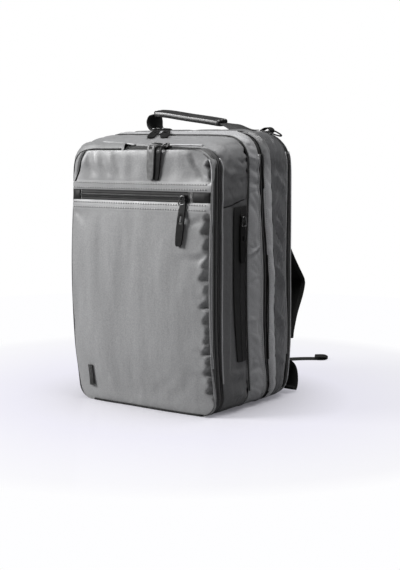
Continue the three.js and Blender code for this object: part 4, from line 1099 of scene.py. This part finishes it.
def spline_place(stops, share):
    """A point of the smooth line through the stops."""
    at = share * (len(stops) - 1)
    i = min(int(at), len(stops) - 2)
    t = at - i
    p = [stops[max(i - 1, 0)], stops[i], stops[i + 1], stops[min(i + 2, len(stops) - 1)]]
    return 0.5 * (
        2 * p[1] + (p[2] - p[0]) * t + (2 * p[0] - 5 * p[1] + 4 * p[2] - p[3]) * t**2
        + (3 * p[1] - p[0] - 3 * p[2] + p[3]) * t**3
    )


# The middle line of a strap, as shares of the bag's width, depth and height.
STRAP_LINE = [
    (0.17, 0.554, 0.905), (0.21, 0.555, 0.82), (0.26, 0.564, 0.72), (0.295, 0.58, 0.625),
    (0.315, 0.64, 0.553), (0.323, 0.74, 0.477), (0.327, 0.833, 0.412), (0.332, 0.81, 0.372),
    (0.342, 0.7, 0.295), (0.355, 0.62, 0.228), (0.362, 0.598, 0.199),
]
# Across a strap: where its two seams lie, and the profile of its webbing as (offset, lift).
SEAMS = (-23.5, 23.5)
WEBBING = ((-12, -0.4), (-11.4, 1.3), (11.4, 1.3), (12, -0.4))
STRAP_STOPS = 150
for side, sign in (("left", -1), ("right", 1)):
    node = "shoulder_strap_" + side
    mesh = refined(node, 3, 18, 0.8)
    places = points_of(mesh)
    puff = rough_noise(places, (0.03, 0.05, 0.03), 12 + sign) * 0.5
    move(mesh, normals_of(mesh) * (puff * MM)[:, None])
    strap = add_piece(node + "_padding", mesh, PADDING, [node])
    tree = tree_of(mesh)
    stops = [Vector((sign * a * WIDTH, b * DEPTH, c * HEIGHT)) for a, b, c in STRAP_LINE]
    rows = []
    rings = []
    for i in range(STRAP_STOPS):
        share = 0.02 + 0.96 * i / STRAP_STOPS
        here = spline_place(stops, share)
        along = (spline_place(stops, share + 0.006) - here).normalized()
        out = RIGHT.cross(along).normalized()
        for offset in SEAMS:
            for way in (out, -out):
                hit = tree.ray_cast(here + RIGHT * offset * MM + way * 0.03, -way, 0.05)[0]
                if hit is not None:
                    rows.append((hit, along, way))
        way = out if out.y > 0 else -out
        ring = []
        for offset, lift in WEBBING:
            hit = tree.ray_cast(here + RIGHT * offset * MM + way * 0.03, -way, 0.05)[0]
            if hit is not None:
                ring.append(hit + way * lift * MM)
        if len(ring) == len(WEBBING):
            rings.append(ring)
    grains(node + "_stitches", rows, STITCH, DARK_THREAD)
    places = [place for ring in rings for place in ring]
    faces = [(3, 2, 1, 0)]
    for i in range(len(rings) - 1):
        for j in range(4):
            a, b = 4 * i + j, 4 * i + (j + 1) % 4
            faces.append((a, b, b + 4, a + 4))
    faces.append(tuple(4 * (len(rings) - 1) + j for j in range(4)))
    built(node + "_webbing", places, faces, STRAP, closed=True, smooth=False)

# Studio: a glossy pale floor that fades to white, soft lights and a white surround.
FLOOR_REACH = 1.15
FLOOR_SIDES = 96
FLOOR_GLOSS, FLOOR_SHINE = 0.09, 0.16
# Distances from the bag at which the floor's glow turns white, and at which it sets in.
WHITE_FROM, WHITE_TO = 0.28, 0.6
GLOW_FROM, GLOW_TO = 0.13, 0.28
GLOW_LEAST, GLOW_MOST = 0.12, 0.8
floor_mesh = bpy.data.meshes.new("floor")
rim = [math.tau * k / FLOOR_SIDES for k in range(FLOOR_SIDES)]
floor_rim = [(math.cos(turn) * FLOOR_REACH, math.sin(turn) * FLOOR_REACH, 0) for turn in rim]
floor_mesh.from_pydata(floor_rim, [], [tuple(range(FLOOR_SIDES))])
floor = bpy.data.objects.new("floor", floor_mesh)
bpy.context.scene.collection.objects.link(floor)
look = Shader("floor")
look.tree.nodes.remove(look.body)
# Painted light: the camera sees a paler floor than the light that bounces off it, and a glow over it,
# lavender near the bag where it paints the floor's soft shadow and reflection, and white further off.
seen = look.add("ShaderNodeLightPath").outputs["Is Camera Ray"]
diffuse = look.joined("ShaderNodeBsdfDiffuse", look.blend(seen, (0.28, 0.28, 0.29), (0.74, 0.73, 0.77)))
gloss = look.joined("ShaderNodeBsdfGlossy", roughness=FLOOR_GLOSS)
surface = look.joined("ShaderNodeMixShader", FLOOR_SHINE, diffuse, gloss)
reach = look.add("ShaderNodeVectorMath", operation="LENGTH")
look.link(look.place, reach.inputs[0])
far = look.spread(reach.outputs["Value"], WHITE_FROM, WHITE_TO)
near = look.spread(reach.outputs["Value"], GLOW_FROM, GLOW_TO, GLOW_LEAST, GLOW_MOST)
glow = look.joined("ShaderNodeEmission", look.blend(far, (0.87, 0.86, 0.95), (0.99, 0.99, 1.0)))
share = look.joined("ShaderNodeMath", far, near, operation="MAXIMUM")
share = look.joined("ShaderNodeMath", share, seen, operation="MULTIPLY")
look.link(look.joined("ShaderNodeMixShader", share, surface, glow), look.out.inputs[0])
floor_mesh.materials.append(look.material)


def softbox(name, place, target, size, power, tint=(1, 1, 1)):
    light = bpy.data.lights.new(name, "AREA")
    light.shape = "RECTANGLE"
    light.size, light.size_y = size
    light.energy = power
    light.color = tint
    obj = bpy.data.objects.new(name, light)
    obj.location = place
    obj.rotation_euler = (Vector(place) - Vector(target)).to_track_quat("Z", "Y").to_euler()
    bpy.context.scene.collection.objects.link(obj)


softbox("key", (-1.7, -1.7, 1.5), (0, 0, 0.2), (1.1, 1.1), 95)
softbox("top", (0.35, 0.2, 2.2), (0, 0, 0.2), (1.5, 1.5), 36)
softbox("corner", (1.1, -0.3, 1.7), (0.14, 0, 0.35), (0.5, 0.5), 2.5)
softbox("side", (2.0, 0.9, 1.0), (0, 0, 0.2), (0.3, 1.4), 2.8, (0.96, 0.96, 1))

# The camera sees the surround in plain white, and it lights the bag with a small part of that.
SURROUND = 0.055
world = bpy.data.worlds.new("surround")
bpy.context.scene.world = world
world.use_nodes = True
tree = world.node_tree
tree.nodes.clear()
surround = tree.nodes.new("ShaderNodeBackground")
surround.inputs["Color"].default_value = (1, 1, 1, 1)
strength = tree.nodes.new("ShaderNodeMapRange")
strength.inputs["To Min"].default_value = SURROUND
ways = tree.nodes.new("ShaderNodeLightPath")
end = tree.nodes.new("ShaderNodeOutputWorld")
tree.links.new(ways.outputs["Is Camera Ray"], strength.inputs[0])
tree.links.new(strength.outputs[0], surround.inputs["Strength"])
tree.links.new(surround.outputs[0], end.inputs[0])
bpy.context.scene.view_settings.view_transform = "Standard"
